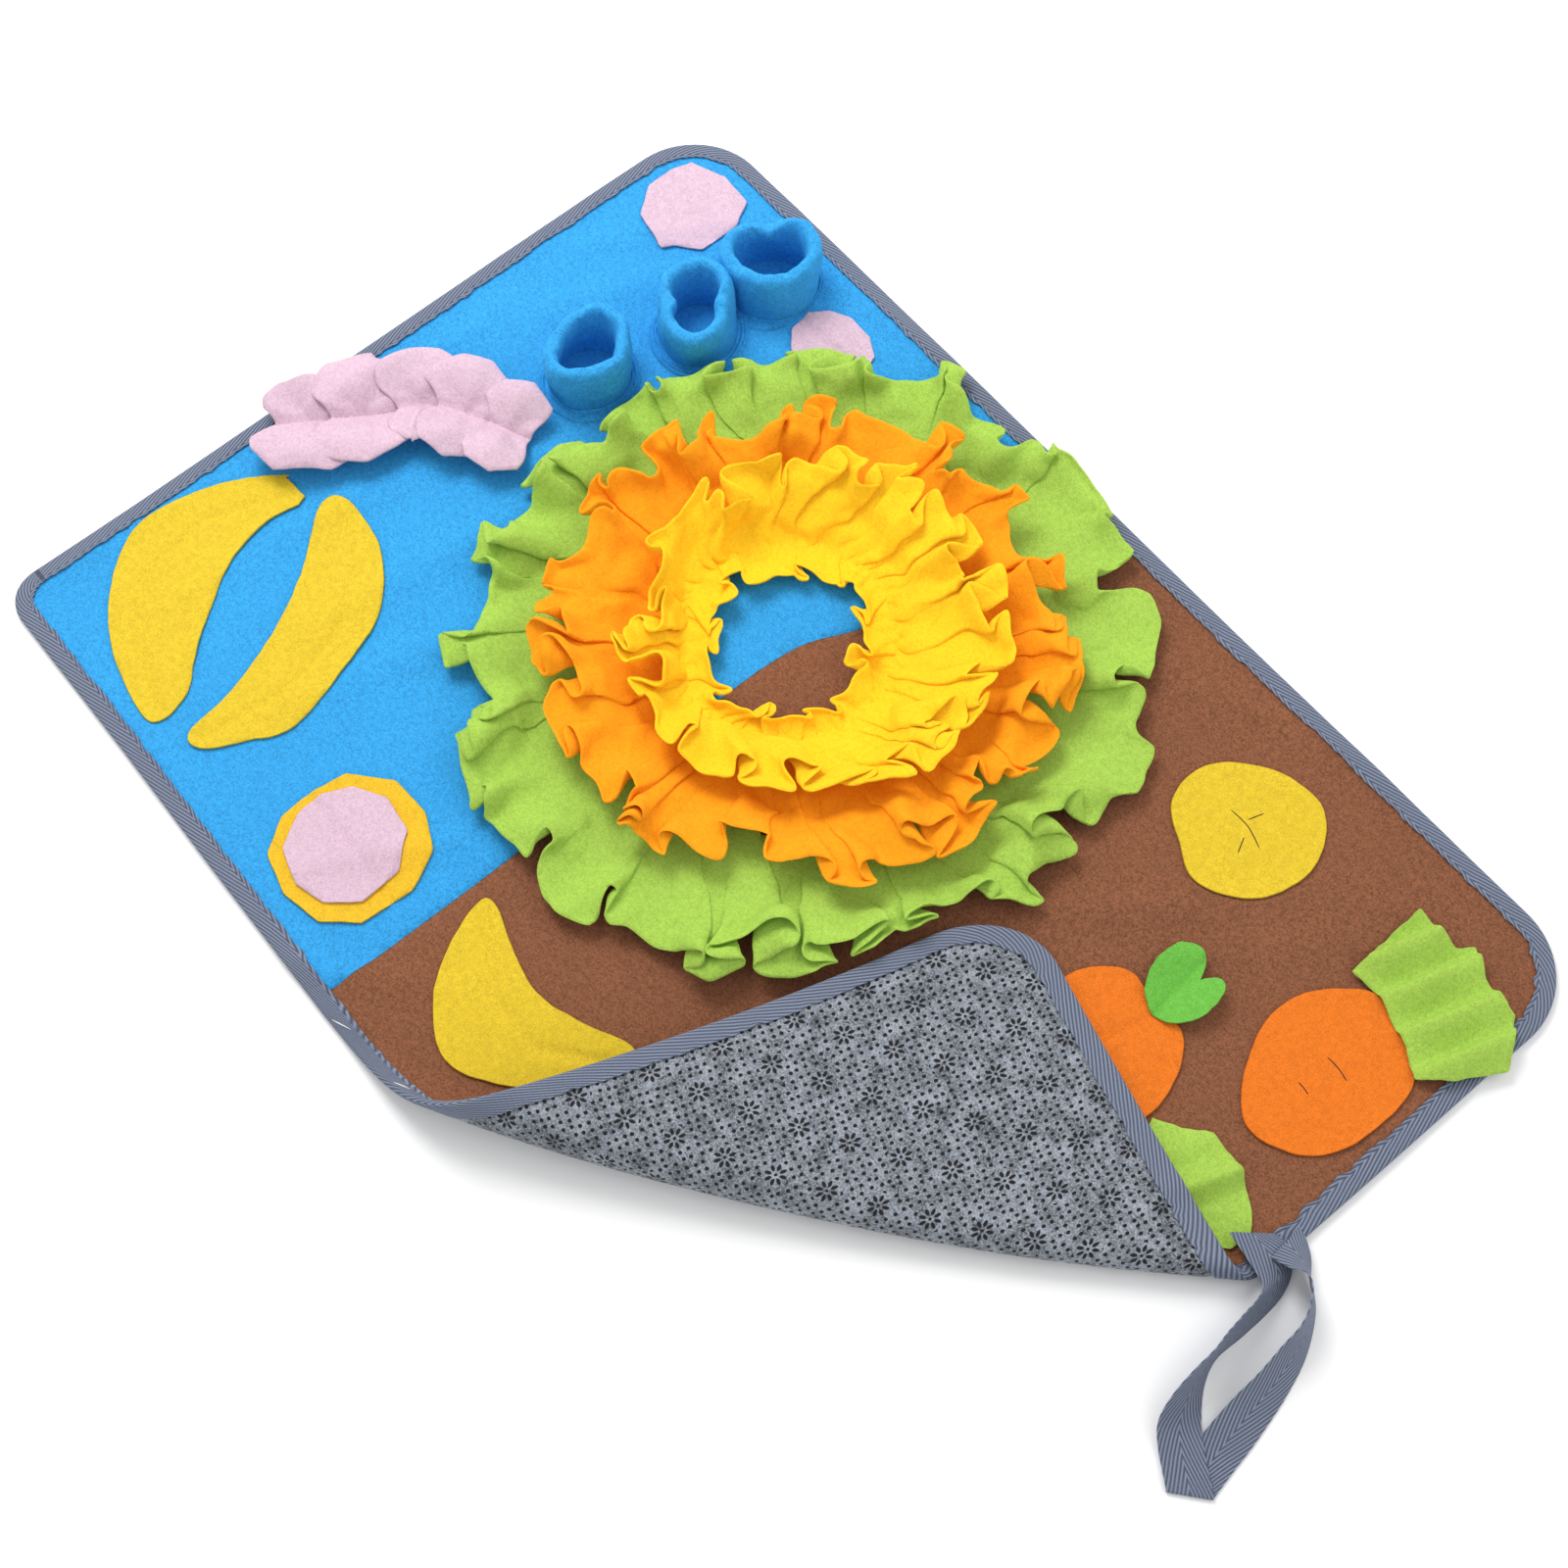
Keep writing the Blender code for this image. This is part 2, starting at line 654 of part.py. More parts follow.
def fold_table(count, seed, pinch, lean):
    """Uneven folds round a ring: start, width, height, valley, pinch, lean and reach of each."""
    chance = random.Random(seed)

    def some(name):
        return chance.uniform(*FOLD_VARIATION[name])

    widths = [some("width") for _ in range(count)]
    start = 0.0
    folds = []
    for width in widths:
        share = 2 * math.pi * width / sum(widths)
        folds.append({
            "start": start,
            "width": share,
            "height": some("height"),
            "valley": some("valley"),
            "pinch": pinch * some("pinch"),
            "lean": lean * some("lean"),
            "reach": some("reach"),
        })
        start += share
    return folds


def ruffle_row(row, line, folds, growth, limits):
    """The middle of the cloth along one line of a ring, from its sewn line (growth 0) outward."""
    radius, low, high = line
    shift_x, shift_y = row[4], row[5]
    points = []
    for fold, following in zip(folds, folds[1:] + folds[:1]):
        for step in range(FOLD_STATIONS):
            share = step / FOLD_STATIONS
            phase = 2 * math.pi * share
            crest = (1 - math.cos(phase)) / 2
            turn = (share + fold["pinch"] * growth * math.sin(2 * phase)
                    + fold["lean"] * growth * crest)
            angle = fold["start"] + fold["width"] * turn
            valley = mix(fold["valley"], following["valley"], share) * (1 - crest)
            reach = radius + fold["reach"] * growth * crest
            reach = min(reach, limits(angle) - RUFFLE_CROWDING * (1 - growth))
            x = RING_CENTRE[0] + shift_x * (1 - growth) + reach * math.cos(angle)
            y = RING_CENTRE[1] + shift_y * (1 - growth) + reach * math.sin(angle)
            over_binding = smooth((y - WIDTH / 2 + 1.5 * RAMP_END) / RAMP_END)
            z = mix(low, high, crest * fold["height"] + valley)
            points.append(Vector((x, y, z + DRAPE_CLEARANCE * over_binding)))
    return points


def ruffle(collection, row, obstacles):
    name, material_name, count, seed, _, _, pinch, lean = row
    lines = RUFFLE_ROWS[name]
    folds = fold_table(count, seed, pinch, lean)
    widest = lines[-1][0] + FOLD_VARIATION["reach"][1]

    def limits(angle):
        return free_reach(RING_CENTRE, angle, widest, obstacles)

    rows = [ruffle_row(row, line, folds, i / (len(lines) - 1), limits)
            for i, line in enumerate(lines)]
    around = len(rows[0])
    verts = []
    for side in (-1, 1):
        for j, points in enumerate(rows):
            for i, point in enumerate(points):
                along = points[(i + 1) % around] - points[i - 1]
                across = rows[min(j + 1, len(rows) - 1)][i] - rows[max(j - 1, 0)][i]
                normal = across.cross(along).normalized()
                verts.append(point + normal * side * RUFFLE / 2)
    faces = []
    shell = len(rows) * around
    for j in range(len(rows) - 1):
        for i in range(around):
            after = (i + 1) % around
            quad = (j * around + i, j * around + after, (j + 1) * around + after,
                    (j + 1) * around + i)
            faces.append(quad)
            faces.append(tuple(shell + k for k in quad[::-1]))
    for j in (0, len(rows) - 1):
        for i in range(around):
            after = (i + 1) % around
            faces.append((j * around + i, j * around + after, shell + j * around + after,
                          shell + j * around + i))
    add_mesh(collection, name, verts, faces, material_name)


# Pockets, petals, patches, leaves.


def pocket(collection, row):
    lean = Vector((row[4], row[5]))
    rim_height = max(height for _, height in POCKET_SECTION)
    verts = []
    for outward, height in POCKET_SECTION:
        tilt = lean * (height / rim_height)
        drawn = mix(POCKET_BASE_DRAW, 1.0, smooth(height / rim_height))
        shaped = row[:7] + (row[7] * drawn, row[8], row[9] * drawn)
        verts += [(x + tilt.x, y + tilt.y, height) for x, y in pocket_outline(shaped, outward)]
    levels = len(POCKET_SECTION)
    faces = []
    for k in range(levels):
        after = (k + 1) % levels
        for i in range(POCKET_SIDES):
            follow = (i + 1) % POCKET_SIDES
            faces.append((k * POCKET_SIDES + i, k * POCKET_SIDES + follow,
                          after * POCKET_SIDES + follow, after * POCKET_SIDES + i))
    add_mesh(collection, row[0], verts, faces, "blue fleece")


def line_places(points, steps):
    """A smooth line's points, each with its distance along the line and its direction."""
    curve = [Vector(p) for p in through(points, steps, closed=False)]
    places = []
    run = 0.0
    for i, point in enumerate(curve):
        along = (curve[min(i + 1, len(curve) - 1)] - curve[max(i - 1, 0)]).normalized()
        run += (point - curve[i - 1]).length if i else 0.0
        places.append((run, point, along))
    return places


def off_line(places, run, aside):
    """The point that far along a line and that far to its left, also past its ends."""
    for (start, point, along), (end, _, _) in zip(places, places[1:]):
        if run <= end:
            break
    return point + along * (run - start) + Vector((-along.y, along.x)) * aside


def petal(collection, row, places):
    """A disc pinched along the sewn line, so that it rises on both sides of it."""
    name, start, end, left, right, level = row
    middle, length = (start + end) / 2, end - start
    outline = []
    for i in range(PETAL_SIDES):
        angle = 2 * math.pi * i / PETAL_SIDES
        aside = math.sin(angle) * (left if math.sin(angle) > 0 else right)
        outline.append((middle + math.cos(angle) * length / 2, aside))
    grid = [(start + length * i / PETAL_ROWS, PETAL_COLUMN * k)
            for i in range(1, PETAL_ROWS) for k in range(-4, 5)]
    inner = [p for p in grid if inside(p, outline) and distance(p, outline) > PETAL_MARGIN]
    lines = [(outline, True)] + [([p], False) for p in inner]
    flat = triangulated(lines, lambda p: inside(p, outline))

    def surface(height):
        def place(run, aside):
            across = min(abs(aside) / PETAL_DOME_REACH, PETAL_DOME_END)
            dome = PETAL_DOME * math.sin(math.pi / 2 * across)
            slope = PETAL_SLOPE * (end - max(run, level))
            point = off_line(places, run, aside)
            return (point.x, point.y, PETAL_FLOOR + dome + slope + height)
        return place

    thick_sheet(collection, name, flat, surface(0.0), surface(PETAL_THICKNESS), "pink fleece")


def patch(collection, row):
    """A flat piece: a filled outline with the cloth's thickness."""
    name, material_name, floor, rounded, outline = row
    metres = [(x / 1000, y / 1000) for x, y in outline]
    points = through(metres, ROUND_STEPS, closed=True) if rounded else metres
    data = bpy.data.curves.new(name, "CURVE")
    data.dimensions = "2D"
    data.fill_mode = "BOTH"
    data.extrude = FLEECE / 2
    spline = data.splines.new("POLY")
    spline.points.add(len(points) - 1)
    for place, (x, y) in zip(spline.points, points):
        place.co = (x, y, 0.0, 1.0)
    spline.use_cyclic_u = True
    made = add_object(collection, name, data, material_name)
    made.location.z = floor + FLEECE / 2


def leaf(collection, name, outline, height, material_name):
    """A light piece that stands off the mat by height(x, y)."""
    metres = [(x / 1000, y / 1000) for x, y in outline]
    low_x, high_x = min(x for x, _ in metres), max(x for x, _ in metres)
    low_y, high_y = min(y for _, y in metres), max(y for _, y in metres)
    grid = [(low_x + LEAF_GRID * (i + 0.5 * (k % 2)), low_y + LEAF_GRID * k)
            for i in range(int((high_x - low_x) / LEAF_GRID) + 1)
            for k in range(int((high_y - low_y) / LEAF_GRID) + 1)]
    inner = [p for p in grid if inside(p, metres) and distance(p, metres) > LEAF_GRID / 3]
    lines = [(metres, True)] + [([p], False) for p in inner]
    flat = triangulated(lines, lambda p: inside(p, metres))
    thick_sheet(
        collection, name, flat,
        lambda x, y: (x, y, height(x, y)),
        lambda x, y: (x, y, height(x, y) + FLEECE),
        material_name,
    )


def pumpkin_leaf_height(x, y):
    """Folded a little along its middle, and tipped up away from its stalk."""
    skew, aside, away = PUMPKIN_LEAF_RISES
    out = y - PUMPKIN_STALK[1]
    across = x - PUMPKIN_STALK[0] + skew * out
    return SECOND_PATCH_FLOOR + aside * abs(across) + away * max(out, 0.0)


def carrot_top_height(x, y):
    """Three pleats that open from the sewn root, lifted over the binding at the edge."""
    root = [Vector(p) for p in CARROT_TOP_ROOT]
    along = (root[1] - root[0]).normalized()
    offset = Vector((x, y)) - root[0]
    out = max(offset.dot(Vector((-along.y, along.x))), 0.0)
    share = offset.dot(along) / (root[1] - root[0]).length
    pleat = 0.5 - 0.5 * math.cos(2 * math.pi * (share * CARROT_PLEATS + 0.2))
    edge = smooth(ramp(x, *CARROT_LIFT))
    floor = mix(SECOND_PATCH_FLOOR + GAP, EDGE_HEIGHT + DRAPE_CLEARANCE + GAP, edge)
    return floor + CARROT_PLEAT_HEIGHT * pleat * smooth(ramp(out, *CARROT_PLEAT_REACH))


def turnip_leaf_height(x, y):
    """One soft pleat from the root, flat at the rim."""
    crease_x, crease_y, across_x, across_y = TURNIP_CREASE
    height, half_width = TURNIP_PLEAT
    across = (x - crease_x) * across_x + (y - crease_y) * across_y
    bump = height * math.exp(-(across / half_width) ** 2)
    return PATCH_FLOOR + bump * smooth(ramp(x, *TURNIP_FADE))


# The strap.


def strap_station(x, y, lift, turn, tilt):
    """(middle, half of the width) of the tape: its right edge is down, its left edge up."""
    turn, tilt = math.radians(turn), math.radians(tilt)
    half = STRAP_WIDTH / 2 * Vector((
        math.cos(turn) * math.cos(tilt), math.sin(turn) * math.cos(tilt), -math.sin(tilt)))
    low = STRAP_THICKNESS / 2 * math.cos(tilt) + STRAP_LIFT
    middle = (x / 1000, y / 1000, lift / 1000 + low + STRAP_WIDTH / 2 * math.sin(tilt))
    return Vector(middle), half


def strap(collection):
    """The tape runs out, turns under itself at a crease and comes back beneath."""
    out = [strap_station(*s) for s in through(STRAP_RUN_OUT, STRAP_STEPS, closed=False)]
    back = [strap_station(*s) for s in through(STRAP_RUN_BACK, STRAP_STEPS, closed=False)]
    x, y, turn = STRAP_CREASE
    heading = Vector((math.sin(math.radians(turn)), -math.cos(math.radians(turn)), 0.0))
    _, half = strap_station(x, y, 0.0, turn, 0.0)
    half = half / math.cos(CREASE_SKEW)
    apart = (STRAP_THICKNESS + GAP) / 2
    low = STRAP_THICKNESS / 2 + STRAP_LIFT
    crease = []
    for step in range(CREASE_STEPS + 1):
        angle = math.pi * step / CREASE_STEPS
        middle = Vector((x / 1000, y / 1000, low + apart + apart * math.cos(angle)))
        crease.append((middle + heading * apart * math.sin(angle), half))
    places = out + crease + back
    verts = []
    for i, (middle, half) in enumerate(places):
        ahead = places[min(i + 1, len(places) - 1)][0] - places[max(i - 1, 0)][0]
        up = half.cross(ahead).normalized() * STRAP_THICKNESS / 2
        verts += [middle - half - up, middle + half - up, middle + half + up, middle - half + up]
    faces = [(0, 1, 2, 3), tuple(len(verts) - 4 + k for k in (3, 2, 1, 0))]
    for i in range(len(places) - 1):
        for k in range(4):
            follow = (k + 1) % 4
            faces.append((4 * i + k, 4 * i + follow, 4 * i + 4 + follow, 4 * i + 4 + k))
    add_mesh(collection, "strap", verts, faces, "grey tape")


def main():
    clear_scene()
    mat = new_collection("snuffle_mat")
    mat_sheet(mat, "backing", 0.0, BACKING, "grey felt", 0)
    mat_sheet(mat, "top_blue", TOP_FLOOR, FLEECE, "blue fleece", -1)
    mat_sheet(mat, "top_brown", TOP_FLOOR, FLEECE, "brown fleece", 1)
    binding(mat)
    rim_reach = POCKET_SECTION[1][0]
    obstacles = [flap_footprint()] + [pocket_outline(row, rim_reach) for row in POCKETS]
    for row in RUFFLES:
        ruffle(mat, row, obstacles)
    for row in POCKETS:
        pocket(mat, row)
    places = line_places(PETAL_LINE, 6)
    for row in PETALS:
        petal(mat, row, places)
    for row in PATCHES:
        patch(mat, row)
    leaf(mat, "pumpkin_leaf", PUMPKIN_LEAF, pumpkin_leaf_height, "leaf felt")
    leaf(mat, "carrot_top", CARROT_TOP, carrot_top_height, "green fleece")
    leaf(mat, "turnip_leaf", TURNIP_LEAF, turnip_leaf_height, "green fleece")
    strap(mat)


main()
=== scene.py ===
"""The looks of a snuffle mat that lies on a floor with one corner folded over.

Metres, +Z up. X runs along the long side and Y along the short side of the flat mat. Each piece of
cloth is drawn flat, as it was cut, and then laid: lay() rolls the corner at +X -Y over onto the top,
rise() lifts a sheet onto the binding at its edge, and settle() adds the soft wrinkles that run
through all the layers together.
"""
import json
import math
import random

import bpy
import numpy as np
from mathutils import Matrix, Vector, noise
from mathutils.geometry import delaunay_2d_cdt

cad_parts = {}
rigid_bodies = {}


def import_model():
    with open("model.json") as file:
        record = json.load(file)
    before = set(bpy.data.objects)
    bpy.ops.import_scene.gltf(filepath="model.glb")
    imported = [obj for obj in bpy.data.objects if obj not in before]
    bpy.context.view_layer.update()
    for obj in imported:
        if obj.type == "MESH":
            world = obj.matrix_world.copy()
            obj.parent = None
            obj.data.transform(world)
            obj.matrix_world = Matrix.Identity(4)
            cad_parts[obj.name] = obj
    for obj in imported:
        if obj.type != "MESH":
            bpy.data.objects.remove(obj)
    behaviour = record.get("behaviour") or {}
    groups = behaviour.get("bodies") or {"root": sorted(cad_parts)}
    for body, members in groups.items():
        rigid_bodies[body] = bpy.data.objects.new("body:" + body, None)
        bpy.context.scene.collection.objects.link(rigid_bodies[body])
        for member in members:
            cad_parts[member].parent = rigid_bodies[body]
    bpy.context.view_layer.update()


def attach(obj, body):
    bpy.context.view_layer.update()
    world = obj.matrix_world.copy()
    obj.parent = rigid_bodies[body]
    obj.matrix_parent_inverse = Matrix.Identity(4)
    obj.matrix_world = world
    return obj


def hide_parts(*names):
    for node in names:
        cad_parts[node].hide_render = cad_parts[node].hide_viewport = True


# The cut mat and its layers.
LENGTH = 1.0
WIDTH = 0.7
CORNERS = ((-1, -1, 0.030), (1, -1, 0.065), (1, 1, 0.065), (-1, 1, 0.065))  # sides, radius
CORNER_STEPS = 24
BACKING = 0.0012
FLEECE = 0.0015
TAPE = 0.0010
GAP = 0.0004
TOP_FLOOR = BACKING + GAP
PATCH_FLOOR = TOP_FLOOR + FLEECE + GAP
SECOND_PATCH_FLOOR = PATCH_FLOOR + FLEECE + GAP
EDGE_RISE = TAPE + GAP
EDGE_HEIGHT = EDGE_RISE + TOP_FLOOR + FLEECE + GAP + TAPE
SHEET_INSET = TAPE + GAP
BINDING_WIDTH = 0.0145
RAMP_START = 0.0160
RAMP_END = 0.0225
DRAPE_CLEARANCE = 0.002

# The folded corner.
FOLD_START = np.array((-0.056, -WIDTH / 2))
FOLD_END = np.array((LENGTH / 2, 0.039))
FOLD_LENGTH = np.linalg.norm(FOLD_END - FOLD_START)
FOLD_ALONG = (FOLD_END - FOLD_START) / FOLD_LENGTH
FOLD_OUTWARD = np.array((FOLD_ALONG[1], -FOLD_ALONG[0]))
FOLD_RADII = (0.0400, 0.0177, 0.0120)  # at the start, the middle and the end
FOLD_BOW = 0.036
FLAP_SLOPE = 0.067
FLAP_HEIGHT = 0.0143
FLAP_EASE = 0.20
BINDING_BLEND = 0.060
SHARE_STEP = 0.001

# The seam between the two panels of fleece, as points across the mat.
SEAM = ((-0.067, -0.36), (-0.067, 0.06), (-0.062, 0.10), (-0.047, 0.128), (0.040, 0.36))
SEAM_ROUND = 0.014
SEAM_DIP = 0.0011
SEAM_REACH = 0.0035

# Soft wrinkles through all the layers: x, y, direction (degrees), half length, half width, height.
WRINKLES = (
    (-0.462, 0.020, 88, 0.130, 0.010, 0.0032), (-0.392, -0.120, 84, 0.120, 0.012, 0.0038),
    (-0.300, -0.060, 80, 0.110, 0.014, 0.0042), (-0.240, -0.110, 74, 0.120, 0.012, 0.0038),
    (-0.410, 0.180, 70, 0.080, 0.012, 0.0035), (-0.440, 0.230, 60, 0.070, 0.010, 0.0029),
    (-0.250, 0.335, 8, 0.100, 0.009, 0.0026), (-0.120, -0.230, 60, 0.090, 0.013, 0.0035),
    (-0.060, -0.310, 40, 0.060, 0.010, 0.0038), (0.250, 0.135, 52, 0.120, 0.014, 0.0045),
    (0.330, 0.180, 56, 0.100, 0.012, 0.0032), (0.190, 0.310, 20, 0.120, 0.011, 0.0032),
    (0.420, 0.020, 80, 0.060, 0.010, 0.0026), (-0.330, -0.330, 2, 0.120, 0.009, 0.0026),
    (-0.480, -0.250, 86, 0.080, 0.008, 0.0022), (0.400, 0.290, 130, 0.060, 0.010, 0.0029),
)
SWAY = 0.0020  # how far the flat cloth wanders from its drawn place
SWAY_SIZE = 0.22

# The camera and the lamps.
CAMERA_PLACE = (0.5440, -0.3421, 1.4762)
CAMERA_RIGHT = (0.6339, 0.7724, -0.0404)
CAMERA_UP = (-0.7004, 0.5955, 0.3935)
CAMERA_BACK = (0.3280, -0.2211, 0.9185)
CAMERA_LENS = 50
LIGHTS = (  # name, place, size, power
    ("key", (-1.30, 0.35, 1.75), 1.0, 32.0),
    ("fill", (1.10, 1.30, 1.90), 1.6, 9.5),
)
SKY = 0.78


# Numbers and lines.


def mix(low, high, share):
    return low + (high - low) * share


def ramp(value, start, end):
    return (value - start) / (end - start)


def smooth(share):
    share = np.clip(share, 0.0, 1.0)
    return share * share * (3 - 2 * share)


def bell(share):
    return np.exp(-share**2)


def length_of(vectors):
    return np.linalg.norm(vectors, axis=-1)


def unit(vectors):
    return vectors / np.maximum(length_of(vectors), 1e-12)[..., None]


def compass(angles):
    """Unit vectors in the plane."""
    return np.stack([np.cos(angles), np.sin(angles)], 1)


def run_along(points):
    """How far along a line each of its points is."""
    return np.concatenate([[0], np.cumsum(length_of(np.diff(points, axis=0)))])


def read_line(places, run, values):
    """A line's values at places along it."""
    return np.stack([np.interp(places, run, column) for column in values.T], 1)


def through(points, steps, closed):
    """A smooth curve through the points, with that many steps between two of them."""
    points = np.array(points, float)
    count = len(points)
    spans = np.arange(count if closed else count - 1)
    near = [(spans + k) % count if closed else np.clip(spans + k, 0, count - 1) for k in (-1, 0, 1, 2)]
    a, b, c, d = (points[n][:, None] for n in near)
    share = (np.arange(steps) / steps)[None, :, None]
    curve = 0.5 * (2 * b + (c - a) * share + (2 * a - 5 * b + 4 * c - d) * share**2
                   + (3 * b - a - 3 * c + d) * share**3)
    curve = curve.reshape(-1, points.shape[1])
    return curve if closed else np.concatenate([curve, points[-1:]])


def spaced(points, step, closed):
    """The same line with points that far apart."""
    points = np.array(points, float)
    if closed:
        points = np.concatenate([points, points[:1]])
    run = run_along(points)
    places = np.linspace(0, run[-1], max(int(round(run[-1] / step)), 3) + 1)
    return read_line(places[:-1] if closed else places, run, points)


def sides(points, outline):
    """For each point: whether it is inside the closed outline, and how far it is from its line."""
    start = np.array(outline, float)
    along = np.roll(start, -1, 0) - start
    odd = np.zeros(len(points), bool)
    x, y = points.T
    for (ax, ay), (dx, dy) in zip(start, along):
        if dy:
            odd ^= ((ay > y) != (ay + dy > y)) & (x < ax + (y - ay) / dy * dx)
    return odd, line_distance(points, np.concatenate([start, start[:1]]))


def line_distance(points, line):
    """How far points are from an open line."""
    x, y = points.T
    nearest = np.full(len(points), np.inf)
    for (ax, ay), (dx, dy) in zip(line, np.diff(line, axis=0)):
        share = np.clip(((x - ax) * dx + (y - ay) * dy) / max(dx * dx + dy * dy, 1e-12), 0, 1)
        nearest = np.minimum(nearest, np.hypot(x - ax - share * dx, y - ay - share * dy))
    return nearest


def noise_at(points, size, seed):
    """Smooth noise, about -1 to 1, with features of that size."""
    seeds = np.broadcast_to(seed, len(points))
    return np.array([noise.noise(Vector((p[0] / size, p[1] / size, s))) for p, s in zip(points, seeds)])


def line_noise(run, size, seed):
    """The same along a line."""
    return noise_at(np.stack([run, run * 0], 1), size, seed)


def ring_noise(angles, scale, seed):
    """The same round a circle of that radius, with features of size 1."""
    return noise_at(compass(angles) * scale, 1, seed)


def jagged(outline, amount, seed):
    """A cut line, a little uneven."""
    steps = np.arange(len(outline)) * 0.9
    return outline + amount * np.stack([line_noise(steps, 3.1, seed + k) for k in (0.1, 7.3)], 1)


# The lie of the mat.


def bow(share):
    return FOLD_BOW * 4 * share * (1 - share)


def bend_radius(share):
    first, middle, last = FOLD_RADII
    return (first * (1 - share) * (1 - 2 * share) + middle * 4 * share * (1 - share)
            + last * share * (2 * share - 1))


def fold_places(flat):
    """(along the fold, reach round it, share of the way along it) of points of the flat mat."""
    offset = flat - FOLD_START
    run = offset @ FOLD_ALONG
    share = np.clip(run / FOLD_LENGTH, 0, 1)
    return run, offset @ FOLD_OUTWARD - bow(share), share


def rolled(reach, radius):
    """(outward, up, turn) of the mat's underside, that far round the fold."""
    bend = radius * (math.pi + FLAP_SLOPE)
    ease = FLAP_EASE * (1 - math.cos(FLAP_SLOPE))
    top = radius * (1 - math.cos(math.pi + FLAP_SLOPE))
    run = bend + np.maximum(top - FLAP_HEIGHT - ease, 0.0) / math.sin(FLAP_SLOPE)
    level = run + FLAP_EASE * FLAP_SLOPE
    turn = np.clip(reach, 0, bend) / radius
    straight = np.clip(reach, bend, run) - bend
    slope = FLAP_SLOPE - np.clip(reach - run, 0, level - run) / FLAP_EASE
    outward = (np.minimum(reach, 0) + radius * np.sin(turn) - straight * math.cos(FLAP_SLOPE)
               - FLAP_EASE * (math.sin(FLAP_SLOPE) - np.sin(slope)) - np.maximum(reach - level, 0))
    up = (radius * (1 - np.cos(turn)) - straight * math.sin(FLAP_SLOPE)
          - FLAP_EASE * (np.cos(slope) - math.cos(FLAP_SLOPE)))
    return outward, up, np.where(reach > bend, math.pi + slope, turn)


def lay(flat, height):
    """Where points of the flat mat lie, that high above the mat's underside."""
    run, reach, share = fold_places(flat)
    out, up, turn = rolled(reach, bend_radius(share))
    out = out + bow(share) - height * np.sin(turn)
    place = FOLD_START + run[:, None] * FOLD_ALONG + out[:, None] * FOLD_OUTWARD
    return np.column_stack([place, up + height * np.cos(turn)])


def edge_depth(flat):
    """How far in from the cut edge points of the flat mat are."""
    u, v = flat.T
    dx, dy = LENGTH / 2 - np.abs(u), WIDTH / 2 - np.abs(v)
    depth = np.minimum(dx, dy)
    for x_side, y_side, radius in CORNERS:
        near = (u * x_side > 0) & (v * y_side > 0) & (dx < radius) & (dy < radius)
        depth = np.where(near, radius - np.hypot(radius - dx, radius - dy), depth)
    return depth


def rise(flat):
    """How far the sheets are lifted by the binding under them."""
    return EDGE_RISE * (1 - smooth(ramp(edge_depth(flat), RAMP_START, RAMP_END)))


def rim(step):
    """Points round the cut edge, anticlockwise, and the direction into the mat at each."""
    corners = []
    for x_side, y_side, radius in CORNERS:
        centre = np.array((x_side * (LENGTH / 2 - radius), y_side * (WIDTH / 2 - radius)))
        start = math.atan2(y_side, x_side) - math.pi / 4
        angle = start + math.pi / 2 * np.arange(CORNER_STEPS + 1) / CORNER_STEPS
        out = compass(angle)
        corners.append((centre + out * radius, -out))
    points, inwards = [], []
    for (arc, inward), (following, _) in zip(corners, corners[1:] + corners[:1]):
        side = following[0] - arc[-1]
        count = int(np.linalg.norm(side) / step)
        share = (np.arange(1, count) / count)[:, None]
        points += [arc, arc[-1] + side * share]
        inwards += [inward, np.repeat(inward[-1:], count - 1, 0)]
    return np.concatenate(points), np.concatenate(inwards)


def seam_x(v):
    """Where the seam crosses the mat at that height across it."""
    x, y = np.array(SEAM).T
    return np.mean([np.interp(v + shift, y, x) for shift in np.linspace(-SEAM_ROUND, SEAM_ROUND, 9)], 0)


def past_seam(flat):
    return flat[:, 0] - seam_x(flat[:, 1])


def swell(x, y):
    """The height of the soft wrinkles."""
    height = np.zeros(len(x))
    for centre_x, centre_y, turn, half_length, half_width, top in WRINKLES:
        cos, sin = math.cos(math.radians(turn)), math.sin(math.radians(turn))
        along = ((x - centre_x) * cos + (y - centre_y) * sin) / half_length
        across = (-(x - centre_x) * sin + (y - centre_y) * cos) / half_width
        height += top * np.exp(-along**2 - across**2)
    return height


def settle(points, share=1.0):
    """Adds what runs through all the layers: the wrinkles, and a little wandering in the plane."""
    points = np.array(points, float)
    flat = points[:, :2].copy()
    points[:, 2] += swell(*flat.T) * share
    for axis, seed in enumerate((3.7, 9.2)):
        points[:, axis] += SWAY * noise_at(flat, SWAY_SIZE, seed) * share
    return points


# Meshes.

SHADERS = {}
RIM_BULGE = 0.28  # how far a cut edge is rounded out, over the cloth's thickness
EDGE_ROOM = 0.55  # how near the outline a sheet's inner points may lie, over their spacing
CUT_SHARE = 0.8  # the spacing of the points on a cut line, over that of the inner ones


